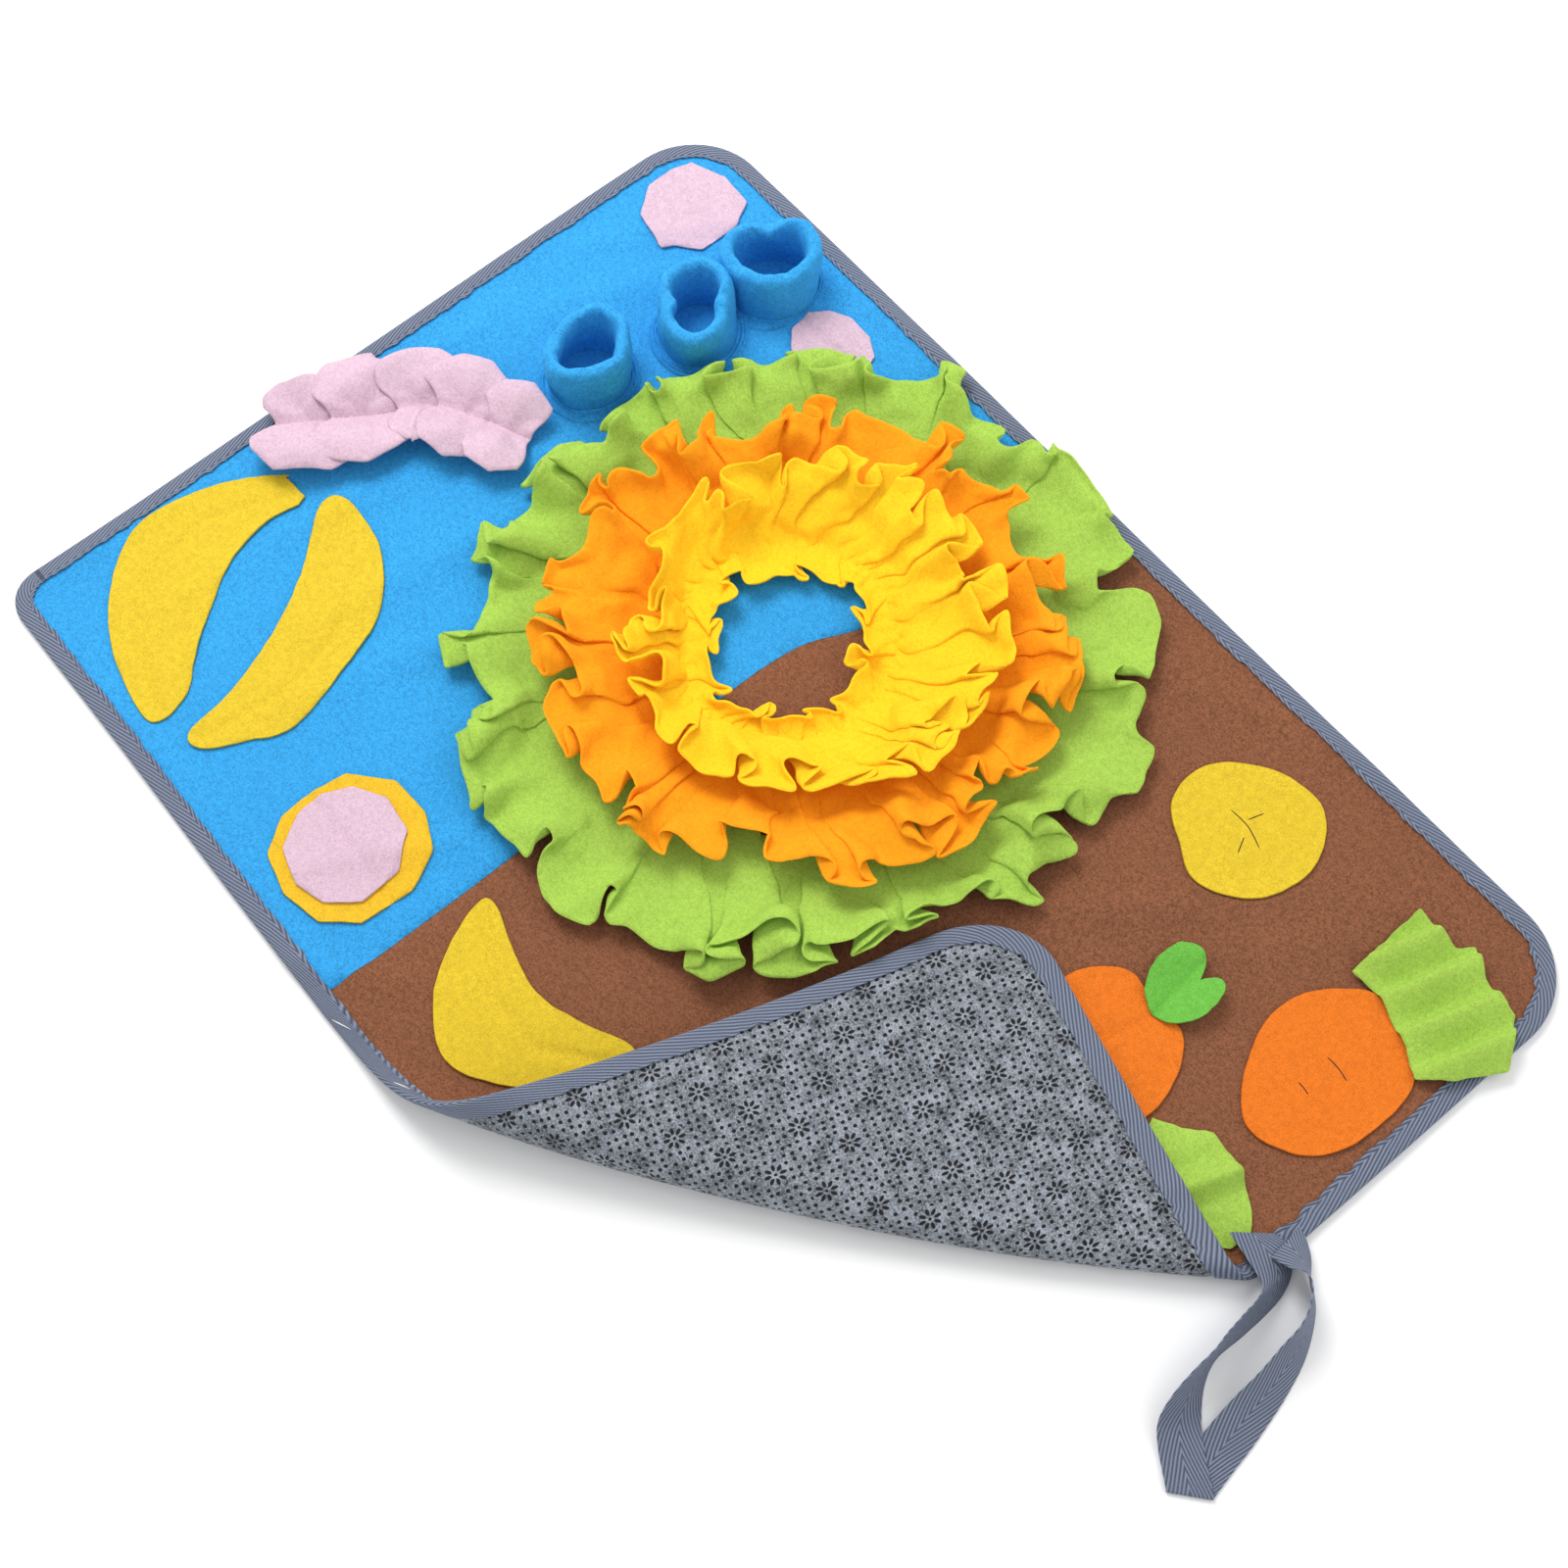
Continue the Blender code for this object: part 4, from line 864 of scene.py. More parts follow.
PATCH_STEP = 0.0040
ROUND, CUT = True, False
PATCHES = (  # name, material, what it lies on, how its corners are cut, outline, lines of stitching (on the lemon and the carrot, the lines of their slits)
    ("banana_1", "yellow_felt", "top_blue", ROUND, (
        (-443, -119), (-466, -155), (-480, -200), (-479, -240), (-453, -277), (-405, -308),
        (-345, -322), (-327, -315), (-333, -286), (-362, -256), (-395, -213), (-411, -182),
        (-417, -152), (-413, -127), (-412.9, -126.8), (-416, -118.5), (-416.1, -118.4), (-436, -120),
        (-436.2, -120), (-441, -121),
    ), (((-424, -122), (-452, -190), (-440, -255), (-395, -290), (-335, -310)),)),
    ("banana_2", "yellow_felt", "top_blue", ROUND, (
        (-400, -112), (-388, -95), (-340, -100), (-298, -128), (-274, -175), (-257, -238),
        (-270, -272), (-287, -303), (-304, -302), (-312, -258), (-333, -203), (-362, -158),
    ), (((-392, -106), (-335, -125), (-300, -165), (-285, -230), (-294, -296)),)),
    ("banana_3", "yellow_felt", "top_brown", ROUND, (
        (-53, -213), (-40, -208), (-12, -217), (30, -224), (72, -211), (104, -196), (117, -206),
        (106, -240), (68, -282), (28, -302), (-12, -284), (-40, -250),
    ), (((-46, -213), (10, -248), (60, -250), (112, -208)),)),
    ("coin_yellow", "amber_felt", "top_blue", CUT, (
        (-204, -262), (-199, -231), (-171, -206), (-136, -204), (-107, -217), (-92, -247),
        (-95, -289), (-116, -313), (-150, -320), (-184, -312), (-202, -287),
    ), (((-203, -262), (-93, -264)),)),
    ("coin_pink", "pink_fleece", "coin_yellow", CUT, (
        (-197, -256), (-187, -233), (-163, -219), (-131, -223), (-110, -246), (-107, -280),
        (-125, -302), (-150, -309), (-179, -301), (-195, -277),
    ), (((-196, -262), (-150, -262), (-108, -264)),)),
    ("pink_disc_1", "pink_fleece", "top_blue", CUT, (
        (-470, 313), (-440, 325), (-408, 322), (-395, 300), (-394, 264), (-412, 250),
        (-418, 240), (-455, 248), (-475, 272), (-476, 296),
    ), (((-470, 290), (-434, 285), (-396, 276)),)),
    ("pink_disc_2", "pink_fleece", "top_blue", CUT, (
        (-289, 290), (-279, 304), (-262, 313), (-238, 312), (-221, 303), (-214, 284),
        (-222, 266), (-242, 256), (-270, 257), (-285, 270),
    ), (((-288, 282), (-216, 284)),)),
    ("lemon", "yellow_felt", "top_brown", ROUND, (
        (226, 280), (250, 295), (284, 298), (306, 279), (316, 250), (308, 215), (286, 194),
        (262, 189), (238, 201), (213, 217), (205, 244), (212, 266),
    ), (((244, 246), (262, 246), (280, 240)), ((262, 262), (258, 250)), ((266, 238), (272, 226)))),
    ("pumpkin", "orange_felt", "top_brown", ROUND, (
        (262, 68), (270, 90), (288, 106), (306, 104), (318, 97), (340, 104), (358, 88),
        (370, 58), (368, 22), (348, -4), (316, -12), (284, 0), (266, 30),
    ), (((322, 97), (316, 70), (300, 40), (284, 2)),)),
    ("carrot", "orange_felt", "top_brown", ROUND, (
        (378, 188), (395, 214), (414, 227), (450, 219), (472, 198), (477, 165), (472, 128),
        (455, 104), (424, 91), (400, 106), (381, 136), (374, 162),
    ), (((420, 168), (431, 168), (441, 166)), ((420, 140), (425, 140), (431, 139)))),
)
SLIT_SHADE_PATCHES = ("lemon", "carrot")  # their slits get dark strips of painted shade, not a dent
SLIT_RADIUS = 0.00042
SLIT_STEP = 0.0012
SLIT_LIFT = 0.0005
SEWN_DEEP = 0.0013
SEWN_REACH = 0.0030
EDGE_LIFT = 0.0010
EDGE_LIFT_SIZE = 0.045
EDGE_LIFT_MORE = 0.35
EDGE_CURL = 0.009
PATCH_ROUGH = 0.0006  # how far the cut line strays
PATCH_GAP = 0.0001
UNEVEN = 0.0004  # the surface's small hills, and how deep the hollows between them get
UNEVEN_SIZE = 0.020
UNEVEN_LEAST = -0.0003


def patch_surface(places, seed):
    return np.maximum(UNEVEN * noise_at(places, UNEVEN_SIZE, seed + 2.5), UNEVEN_LEAST)


def make_patch(row, seed):
    """A flat piece: lightly dented where it is sewn, and lifted a little along its cut edge."""
    name, slot, under, rounded, outline, sewn = row
    metres = np.array(outline) / 1000
    drawn = through(metres, 6, True) if rounded else metres
    cut, flat, triangles = cut_shape(drawn, PATCH_STEP, PATCH_ROUGH, seed)
    on_top = not under.startswith("top")
    floor = SECOND_PATCH_FLOOR if on_top else PATCH_FLOOR
    lift = EDGE_LIFT * np.maximum(noise_at(flat, EDGE_LIFT_SIZE, seed + 0.5) + EDGE_LIFT_MORE, 0)
    lift = lift * np.exp(-sides(flat, cut)[1] / EDGE_CURL)
    lines = [np.array(line) / 1000 for line in sewn]
    dent = np.zeros(len(flat))
    if name not in SLIT_SHADE_PATCHES:
        dent = np.maximum.reduce([bell(line_distance(flat, line) / SEWN_REACH) for line in lines])
    low = floor + rise(flat) * (not on_top) + lift + PATCH_GAP
    high = low + FLEECE + patch_surface(flat, seed) - SEWN_DEEP * dent + UNEVEN * (1 - dent)
    made = cut_piece(name, slot, flat, low, high, triangles)
    # Along the slits of the lemon and the carrot lie dark strips: painted shade where the cut opens.
    if name in SLIT_SHADE_PATCHES:
        slits = []
        for line in lines:
            drawn = spaced(through(line, 6, False), SLIT_STEP, closed=False)
            top = floor + rise(drawn) + FLEECE + patch_surface(drawn, seed) + SLIT_LIFT
            slits.append(settle(np.column_stack([drawn, top])))
        thread_and_shade_strips(name + "_slit_shade", slits, SLIT_RADIUS, "dark_thread")


# Light pieces that stand off the mat.

PUMPKIN_LEAF = (
    (321, 96), (304, 104), (295, 122), (296, 142), (306, 153), (317, 150), (323, 141),
    (325, 137), (327, 141), (335, 148), (343, 141), (345, 120), (337, 103),
)
CARROT_TOP = (
    (388, 224), (386, 292), (422, 291), (430, 303), (452, 290), (482, 286), (494, 272),
    (507, 254), (488, 220), (470, 201), (449, 214), (411, 226),
)
TURNIP_LEAF = (
    (374, 46), (392, 56), (408, 70), (440, 67), (464, 54), (476, 42), (474, 26), (452, 6),
    (420, -6), (392, 8),
)
LEAF_STEP = 0.0024
LEAF_ROUGH = 0.0007
LEAF_UNEVEN_SIZE = 0.018
PUMPKIN_STALK = (0.322, 0.095)
PUMPKIN_LEAN = 0.10  # how far its fold turns aside on its way out
PUMPKIN_SLOPE = 0.27
PUMPKIN_ROUND = 0.0012
PUMPKIN_GROOVE = (0.0012, 0.0022)  # depth, reach
PUMPKIN_TIP = 0.06
CARROT_TOP_ROOT = ((0.388, 0.226), (0.471, 0.203))
CARROT_PLEATS = 3.0
CARROT_PLEAT_HEIGHT = 0.0115
CARROT_PLEAT_START = 0.12
CARROT_PLEAT_FALL = 0.83
CARROT_OPENING = (-0.010, 0.026)  # where out from the root the pleats rise
CARROT_DROOP = (0.030, 0.085, 0.35)  # from, to, share of their height
CARROT_EDGE = (0.440, 0.480)  # X where it climbs onto the binding
TURNIP_FOLD = (0.4327, 0.0487, 0.942, 0.335)  # a point of the pleat, and the way across it
TURNIP_PLEATS = ((0.0085, 0.000, 0.0085), (0.0022, 0.026, 0.0090))  # height, shift, reach
TURNIP_RIM = (0.474, 0.436)  # X from which the pleats rise
TURNIP_LIFT = 0.0003


def pumpkin_leaf_height(flat):
    """Folded a little along its middle, and tipped up away from its stalk."""
    out = flat[:, 1] - PUMPKIN_STALK[1]
    across = flat[:, 0] - PUMPKIN_STALK[0] + PUMPKIN_LEAN * out
    deep, reach = PUMPKIN_GROOVE
    folded = PUMPKIN_SLOPE * np.sqrt(across**2 + PUMPKIN_ROUND**2)
    return SECOND_PATCH_FLOOR + folded + PUMPKIN_TIP * np.maximum(out, 0) - deep * bell(across / reach)


def carrot_top_height(flat):
    """Three one-sided pleats that open from the sewn root, lifted over the binding at the edge."""
    root = np.array(CARROT_TOP_ROOT)
    length = np.linalg.norm(root[1] - root[0])
    along = (root[1] - root[0]) / length
    offset = flat - root[0]
    out = np.maximum(offset @ np.array((-along[1], along[0])), 0)
    share = offset @ along / length
    turn = (share * CARROT_PLEATS + CARROT_PLEAT_START - 0.10 * out / length) % 1
    pleat = np.where(turn < CARROT_PLEAT_FALL, 1 - smooth(turn / CARROT_PLEAT_FALL),
                     smooth(ramp(turn, CARROT_PLEAT_FALL, 1)))
    edge = smooth(ramp(flat[:, 0], *CARROT_EDGE))
    floor = mix(SECOND_PATCH_FLOOR + GAP, EDGE_HEIGHT + DRAPE_CLEARANCE + GAP, edge)
    droop_start, droop_end, droop = CARROT_DROOP
    droop = smooth(ramp(out, droop_start, droop_end)) * droop
    return floor + CARROT_PLEAT_HEIGHT * pleat * smooth(ramp(out, *CARROT_OPENING)) * (1 - droop)


def turnip_leaf_height(flat):
    """Two soft pleats from the root, flat at the rim."""
    x, y, way_x, way_y = TURNIP_FOLD
    across = (flat[:, 0] - x) * way_x - (flat[:, 1] - y) * way_y
    pleats = sum(height * bell((across + shift) / reach) for height, shift, reach in TURNIP_PLEATS)
    return PATCH_FLOOR + TURNIP_LIFT + pleats * smooth(ramp(flat[:, 0], *TURNIP_RIM))


LEAVES = (  # name, material, outline, height, flat size, what it lies on, seed
    ("pumpkin_leaf", "leaf_felt", through(PUMPKIN_LEAF, 4, True), pumpkin_leaf_height, (0.051, 0.059),
     ["top_brown_cloth"], 1.3),
    ("carrot_top", "green_fleece", CARROT_TOP, carrot_top_height, (0.110, 0.125),
     ["top_brown_cloth", "binding_tape"], 2.3),
    ("turnip_leaf", "green_fleece", TURNIP_LEAF, turnip_leaf_height, (0.078, 0.105),
     ["top_brown_cloth"], 4.3),
)


def make_leaf(name, slot, outline, height, size, under, seed):
    """A light piece that stands off the mat by height(points)."""
    _, flat, triangles = cut_shape(np.array(outline) / 1000, LEAF_STEP, LEAF_ROUGH, seed)
    level = height(flat) + UNEVEN * np.maximum(noise_at(flat, LEAF_UNEVEN_SIZE, seed), 0)
    made = cut_piece(name, slot, flat, level, level + FLEECE, triangles)


# The pockets: cuffs of fleece with a soft rolled rim.

POCKETS = (  # name, x, y, radius, lean x, lean y, then of the rim: long axis, stretch, corner turn, corners
    ("pocket_1", -0.3560, 0.1180, 0.0315, -0.002, 0.006, 101, 0.10, 10, 0.06),
    ("pocket_2", -0.3330, 0.2110, 0.0315, -0.002, 0.002, 140, 0.20, 210, 0.05),
    ("pocket_3", -0.3270, 0.2840, 0.0335, -0.004, 0.004, 52, 0.13, 330, 0.06),
)
POCKET_SECTION = (  # outward of the base line, height: from the gathers round the base over the rim
    (0.0100, 0.0036), (0.0088, 0.0056), (0.0074, 0.0044), (0.0060, 0.0072), (0.0046, 0.0054),
    (0.0032, 0.0094), (0.0018, 0.0078), (0.0028, 0.0160), (0.0038, 0.0250), (0.0044, 0.0350),
    (0.0038, 0.0440), (0.0012, 0.0490), (-0.0032, 0.0500), (-0.0066, 0.0462), (-0.0076, 0.0390),
    (-0.0070, 0.0300), (-0.0060, 0.0220), (-0.0050, 0.0150), (-0.0042, 0.0090), (-0.0046, 0.0036),
)
POCKET_STEPS = 3
GATHERED_LEVELS = 6 * POCKET_STEPS
POCKET_SIDES = 96
POCKET_BASE_DRAW = 0.15
POCKET_TOP = 0.0500
POCKET_WAVES = ((1.0, 1.9, 42, 0), (0.5, 4.6, 90, 5))  # share, size round and up, seed
POCKET_WAVE = (0.0007, 0.0023)  # at the base and at the rim
POCKET_RIPPLE = (0.0026, 2.4)  # of the rim: height, size
POCKET_LOOSE = (0.75, 0.9, 1.5, 0.11)  # of the gathers: mean and spread of height, size round and up
POCKET_LOOSE_LIMITS = (0.1, 1.25)
PINCH_SHARE = 0.35  # of a dent that goes down, and into the outer face
POCKET_PINCHES = {  # angle, width (degrees) and depth of dents in the rim
    "pocket_1": ((232, 22, 0.0060), (330, 30, 0.0020), (150, 22, 0.0026)),
    "pocket_2": ((232, 24, 0.0062), (20, 34, 0.0020), (300, 24, 0.0024)),
    "pocket_3": ((140, 26, 0.0050), (355, 24, 0.0030), (255, 26, 0.0046), (60, 22, 0.0026)),
}
POCKET_TUCKS = {"pocket_3": (8, 42, 0.80)}  # where the gathers are tucked in: angle, width, share


def dent_at(angles, turn, width):
    """1 at that angle and less to both sides of it, in degrees."""
    return bell(((np.degrees(angles) - turn + 180) % 360 - 180) / width)


def make_pocket(row, seed):
    """A cuff: its section swept round a wavy line, wrinkled, with dents in its rim."""
    name, x, y, radius, lean_x, lean_y, axis, stretch, corner, corners = row
    angles = 2 * np.pi * np.arange(POCKET_SIDES) / POCKET_SIDES
    turn, width, far = POCKET_TUCKS.get(name, (0, 1, 0))
    tucked = 1 - far * dent_at(angles, turn, width)
    dent = sum(depth * dent_at(angles, *where) for *where, depth in POCKET_PINCHES[name])
    tall, size = POCKET_RIPPLE
    ripple = tall * ring_noise(angles, size, 3.0 + seed + 9)
    long_way = stretch * np.cos(2 * (angles - math.radians(axis)))
    long_way += corners * np.cos(3 * (angles - math.radians(corner)))
    rows = []
    for level, (outward, height) in enumerate(through(POCKET_SECTION, POCKET_STEPS, closed=False)):
        share = height / POCKET_TOP
        gathered = level < GATHERED_LEVELS
        wave = sum(part * ring_noise(angles, size, height * up + seed + more)
                   for part, size, up, more in POCKET_WAVES)
        reach = radius * (1 + long_way * mix(POCKET_BASE_DRAW, 1.0, smooth(share)))
        reach = reach + outward * (tucked if gathered else 1.0) + wave * mix(*POCKET_WAVE, share)
        reach = reach - dent * share**2 * (PINCH_SHARE if outward > 0 else 1.0)
        top = height + (ripple - PINCH_SHARE * dent) * share**2
        if gathered:
            mean, spread, size, up = POCKET_LOOSE
            loose = mean + spread * ring_noise(angles, size, level * up + seed + 3)
            top = mix(PATCH_FLOOR, height, np.clip(loose, *POCKET_LOOSE_LIMITS))
        centre = np.array((x + lean_x * share, y + lean_y * share))
        places = centre + reach[:, None] * compass(angles)
        rows.append(np.column_stack([places, np.maximum(top, PATCH_FLOOR)]))
    lanes = settle(np.concatenate(rows)).reshape(len(rows), POCKET_SIDES, 3).swapaxes(0, 1)
    faces = [f[::-1] for f in swept(lanes, closed=True)]
    made = piece(name + "_cloth", lanes.reshape(-1, 3), faces, "blue_fleece", name, sharp=70)
    up = length_of(np.diff(lanes, axis=1)).sum(1).mean()


# The row of pinched discs: they overlap like shingles along a line sewn from the edge to the rings.

PETAL_LINE = (
    (-0.487, -0.108), (-0.466, -0.079), (-0.437, -0.034), (-0.419, 0.000), (-0.378, 0.026),
    (-0.330, 0.049),
)
PETALS = (  # name, start and end along the line, reach to its left and right, level as far as
    ("petal_1", -0.016, 0.094, 0.034, 0.052, 0.030),
    ("petal_2", 0.032, 0.128, 0.055, 0.050, 0.034),
    ("petal_3", 0.090, 0.162, 0.047, 0.043, 0.086),
    ("petal_4", 0.120, 0.206, 0.048, 0.046, 0.122),
    ("petal_5", 0.168, 0.236, 0.040, 0.045, 0.170),
)
PETAL_THICKNESS = 0.0024
PETAL_DOME = 0.0125
PETAL_DOME_REACH = 0.030
PETAL_DOME_END = 1.62
PETAL_SLOPE = 0.100
PETAL_FLOOR = 0.0054
PETAL_SIDES = 9
PETAL_STEP = 0.0030
PETAL_ROUGH = 0.0005
PETAL_GROOVE = (0.00204, 0.0024)  # depth, reach
PETAL_PINCH = 0.56
PETAL_SPREAD = 1.06
PETAL_ROUND = 0.0015
PETAL_UNEVEN = (0.26, 0.026)  # share of the height, size
PETAL_MIDDLE = 1.10
PETAL_ENDS = 0.22
PETAL_PLEATS = (4.5, 0.0021, 0.004, 0.012)  # how many, height, where they meet, where they rise


def off_line(line, places):
    """Points that far along a line and that far to its left, also past its ends."""
    curve = through(line, 8, closed=False)
    run = run_along(curve)
    at, aside = places.T
    inside = np.clip(at, 0, run[-1])
    way = unit(read_line(inside, run, unit(np.gradient(curve, axis=0))))
    left = np.stack([-way[:, 1], way[:, 0]], 1)
    return read_line(inside, run, curve) + way * (at - inside)[:, None] + left * aside[:, None]


def make_petal(row, seed):
    """A disc pinched along the sewn line, so that it rises on both sides of it."""
    name, start, end, left, right, level = row
    middle, half = (start + end) / 2, (end - start) / 2
    chance = random.Random(seed)
    outline = []
    for i in range(PETAL_SIDES):
        angle = 2 * math.pi * (i + chance.uniform(-0.22, 0.22)) / PETAL_SIDES
        aside = math.sin(angle) * (left if math.sin(angle) > 0 else right)
        outline.append((middle + math.cos(angle) * half, aside))
    _, flat, triangles = cut_shape(outline, PETAL_STEP, PETAL_ROUGH, seed)
    run, aside = flat.T
    off = np.abs(aside)
    run = middle + (run - middle) * mix(PETAL_PINCH, PETAL_SPREAD, smooth(off / PETAL_DOME_REACH))
    across = np.minimum(np.sqrt(aside**2 + PETAL_ROUND**2) / PETAL_DOME_REACH, PETAL_DOME_END)
    share, size = PETAL_UNEVEN
    tall = PETAL_DOME * (1 + share * noise_at(flat, size, seed))
    away = np.clip((run - middle) / half, -1, 1)
    count, deep, meet, rising = PETAL_PLEATS
    pleats = deep * np.cos(count * np.arctan2(run - middle, off + meet)) * smooth(off / rising)
    dome = tall * np.sin(math.pi / 2 * across) * (PETAL_MIDDLE - PETAL_ENDS * away**2) + pleats
    height = PETAL_FLOOR + dome + PETAL_SLOPE * (end - np.maximum(run, level))
    groove, reach = PETAL_GROOVE
    high = height + PETAL_THICKNESS - groove * bell(aside / reach)
    places = off_line(PETAL_LINE, np.stack([run, aside], 1))
    made = cut_piece(name, "pink_fleece", places, height, high, triangles)


# The three gathered rings. Each strip is sewn down along a line, and its free edges wind to and fro.

RING_CENTRE = (-0.058, 0.091)
RING_SPAN = 0.34
RUFFLE = 0.0022
RINGS = (  # name, stations, lanes, seed, shift of the sewn line and of the edge, slack where its folds
    # lie apart and crowd, then rows of share of the way out, radius, height over what is below, winding
    ("ruffle_green", 1700, 27, 5, (0.000, 0.000), (0.003, -0.002), (0.35, 1.05), (
        (0.00, 0.150, 0.0010, 0.20), (0.20, 0.172, 0.0055, 0.50), (0.50, 0.207, 0.0140, 0.82),
        (0.80, 0.241, 0.0225, 0.96), (1.00, 0.255, 0.0310, 1.00),
    )),
    ("ruffle_orange", 1500, 27, 8, (-0.008, 0.000), (0.000, 0.004), (0.55, 1.05), (
        (0.00, 0.097, 0.0010, 0.20), (0.20, 0.118, 0.0085, 0.50), (0.50, 0.149, 0.0195, 0.82),
        (0.80, 0.178, 0.0260, 0.96), (1.00, 0.189, 0.0345, 1.00),
    )),
    ("ruffle_yellow", 1150, 37, 23, (-0.012, -0.003), (0.002, 0.014), (0.65, 1.00), (
        (-0.45, 0.0575, 0.0200, 1.00), (-0.30, 0.0630, 0.0130, 0.85), (-0.12, 0.0740, 0.0050, 0.50),
        (0.00, 0.0840, 0.0010, 0.20), (0.18, 0.0930, 0.0065, 0.50), (0.50, 0.1100, 0.0150, 0.82),
        (0.80, 0.1270, 0.0220, 0.96), (1.00, 0.1350, 0.0290, 1.00),
    )),
)
WINDINGS = {  # folds, flat run between, half length and angle of a turn, share of double folds, their way,
    # the most in and out
    "ruffle_green": (38, (0.016, 0.070), (0.012, 0.024), (2.60, 3.05), 0.22, -1, (0.032, 0.022)),
    "ruffle_orange": (42, (0.010, 0.056), (0.011, 0.020), (2.60, 3.05), 0.22, 1, (0.024, 0.024)),
    "ruffle_yellow": (35, (0.010, 0.046), (0.010, 0.019), (2.60, 3.05), 0.22, 1, (0.024, 0.022)),
    "ruffle_yellow_inside": (12, (0.012, 0.038), (0.011, 0.016), (2.40, 2.95), 0.16, -1, (0.017, 0.013)),
}
DOUBLE_TURN = (1.55, 2.10)
DOUBLE_GAP = 0.006
ONE_WAY = 0.7  # share of the double folds that go their ring's way
BALANCE = 0.006  # how far the turns may run to one side
EDGE_SWAYS = ((0.55, 5.0, 0.7), (0.30, 13.0, 4.1))  # angle, size, seed
INSIDE_SHIFT = (-0.007, -0.006)
INSIDE_END = 0.45
LEAST_GAP = 0.0044  # between two parts of a free edge
GAP_RUN = (0.013, 0.160)  # how far apart along the edge those parts are
OPENINGS = 60
OPENED = (1.3, 0.96)  # how near a turn is that is opened, in half lengths, and what is left of it
GATHERS = (46, 1.05)  # how many go round, angle
GATHER_WANDER = (5, 3.0, 9.3)  # how far they stray, size, seed
GATHER_REACH = 0.75  # share of the way out where they end
GATHER_FADE = 1.6
SEWN_SHARE = 0.16  # share of the way out where the sewn line still holds both sides together
CLEARANCE = 0.004
REACH_STEPS = 36
REACH_STEP = 0.0022
REACH_EASE = 0.022
TALLEST = 0.0620
TALL_EASE = 0.016
BUMP_SIZE = 0.034  # the rings' cloth stands higher and lower from place to place
BUMP_SHARE = 0.50
CRUMPLES = (  # size of the features, how far they push the cloth along X, Y and Z
    (0.060, 0.0130, 0.0130, 0.0030), (0.027, 0.0062, 0.0062, 0.0034), (0.013, 0.0018, 0.0018, 0.0013),
)
CRUMPLED_FROM = 0.006  # the height where the crumples start, and over which they grow
CRUMPLED_REACH = 0.012
RESTING_GAP = 0.0006  # over what lies below
LEAST_LIFT = 0.0003  # over the fleece
RIM_ROUND = (0.8, 0.9)  # how far the inner and the outer cut edge are rounded out, over half the thickness
CROWDED = (12, 90)  # percentiles where the cloth counts as lying flat and as crowded
CELL = 0.003  # of the grids of height and of crowding
CELLS = int(2 * RING_SPAN / CELL)


def obstacles():
    """Outlines that the outer ring's edge stays clear of: the folded corner, the pockets."""
    points, _ = rim(0.012)
    _, reach, share = fold_places(points)
    over = points[reach > math.pi / 2 * bend_radius(share)]
    circle = compass(np.linspace(0, 2 * np.pi, 24, endpoint=False))
    pockets = [(x, y) + (radius + CLEARANCE) * circle for _, x, y, radius, *_ in POCKETS]
    return [lay(over, 0.0)[:, :2], *pockets]


def free_reach(widest, blocked):
    """At each degree: how far a ring's edge can reach before it meets what lies there."""
    ways = compass(np.radians(np.arange(360)))
    reach = np.full(360, widest)
    for _ in range(REACH_STEPS):
        ends = RING_CENTRE + reach[:, None] * ways
        met = ends[:, 1] > WIDTH / 2 + CLEARANCE
        for outline in blocked:
            odd, near = sides(ends, outline)
            met |= odd | (near < CLEARANCE)
        reach = np.where(met, reach - REACH_STEP, reach)
    least = np.min([np.roll(reach, k) for k in range(-3, 4)], 0)
    return np.mean([np.roll(least, k) for k in range(-2, 3)], 0)


def held_under(value, most, ease):
    """The value, bent softly so that it stays under the most."""
    over = value - most + ease
    return np.where(over > 0, most - ease * np.exp(-np.maximum(over, 0) / ease), value)


def turns_of(edge, seed):
    """Where a free edge turns: rows of place along it, half length and angle, and its whole length."""
    count, flat, half, turn, doubles, way, _ = WINDINGS[edge]
    chance = random.Random(seed)
    rows, place, balance = [], 0.0, 0.0
    for _ in range(count):
        place += chance.uniform(*flat)
        if chance.random() < doubles:
            side = way if chance.random() < ONE_WAY else -way
            for sign in (side, -side):
                long, angle = chance.uniform(*half), chance.uniform(*DOUBLE_TURN)
                rows.append([place + long, long, sign * angle])
                place += 2 * long + chance.uniform(0.0, DOUBLE_GAP)
                balance += sign * long
        else:
            long, angle = chance.uniform(*half), chance.uniform(*turn)
            sign = -math.copysign(1, balance) if abs(balance) > BALANCE else chance.choice((-1, 1))
            rows.append([place + long, long, sign * angle])
            place += 2 * long
            balance += sign * long
    return np.array(rows), place


def wound(way, radius, limits):
    """Angle and radius of each station of a lane that heads that way off the ring."""
    stations = len(way)
    step_along, step_out = np.cos(way), np.sin(way)
    along = np.cumsum(step_along) - step_along / 2
    out = np.cumsum(step_out) - step_out / 2
    out = out - np.linspace(0, 1, stations, endpoint=False) * step_out.sum()
    window = np.hanning(stations // 7)
    wide = len(window)
    wrapped = np.concatenate([out[-wide:], out, out[:wide]])
    mean = np.convolve(wrapped, window / window.sum(), "same")[wide:-wide]
    moved = 2 * np.pi * radius * (out - mean) / step_along.sum()
    limit = np.where(moved < 0, *limits)
    return 2 * np.pi * along / step_along.sum(), radius + limit * np.tanh(moved / limit)


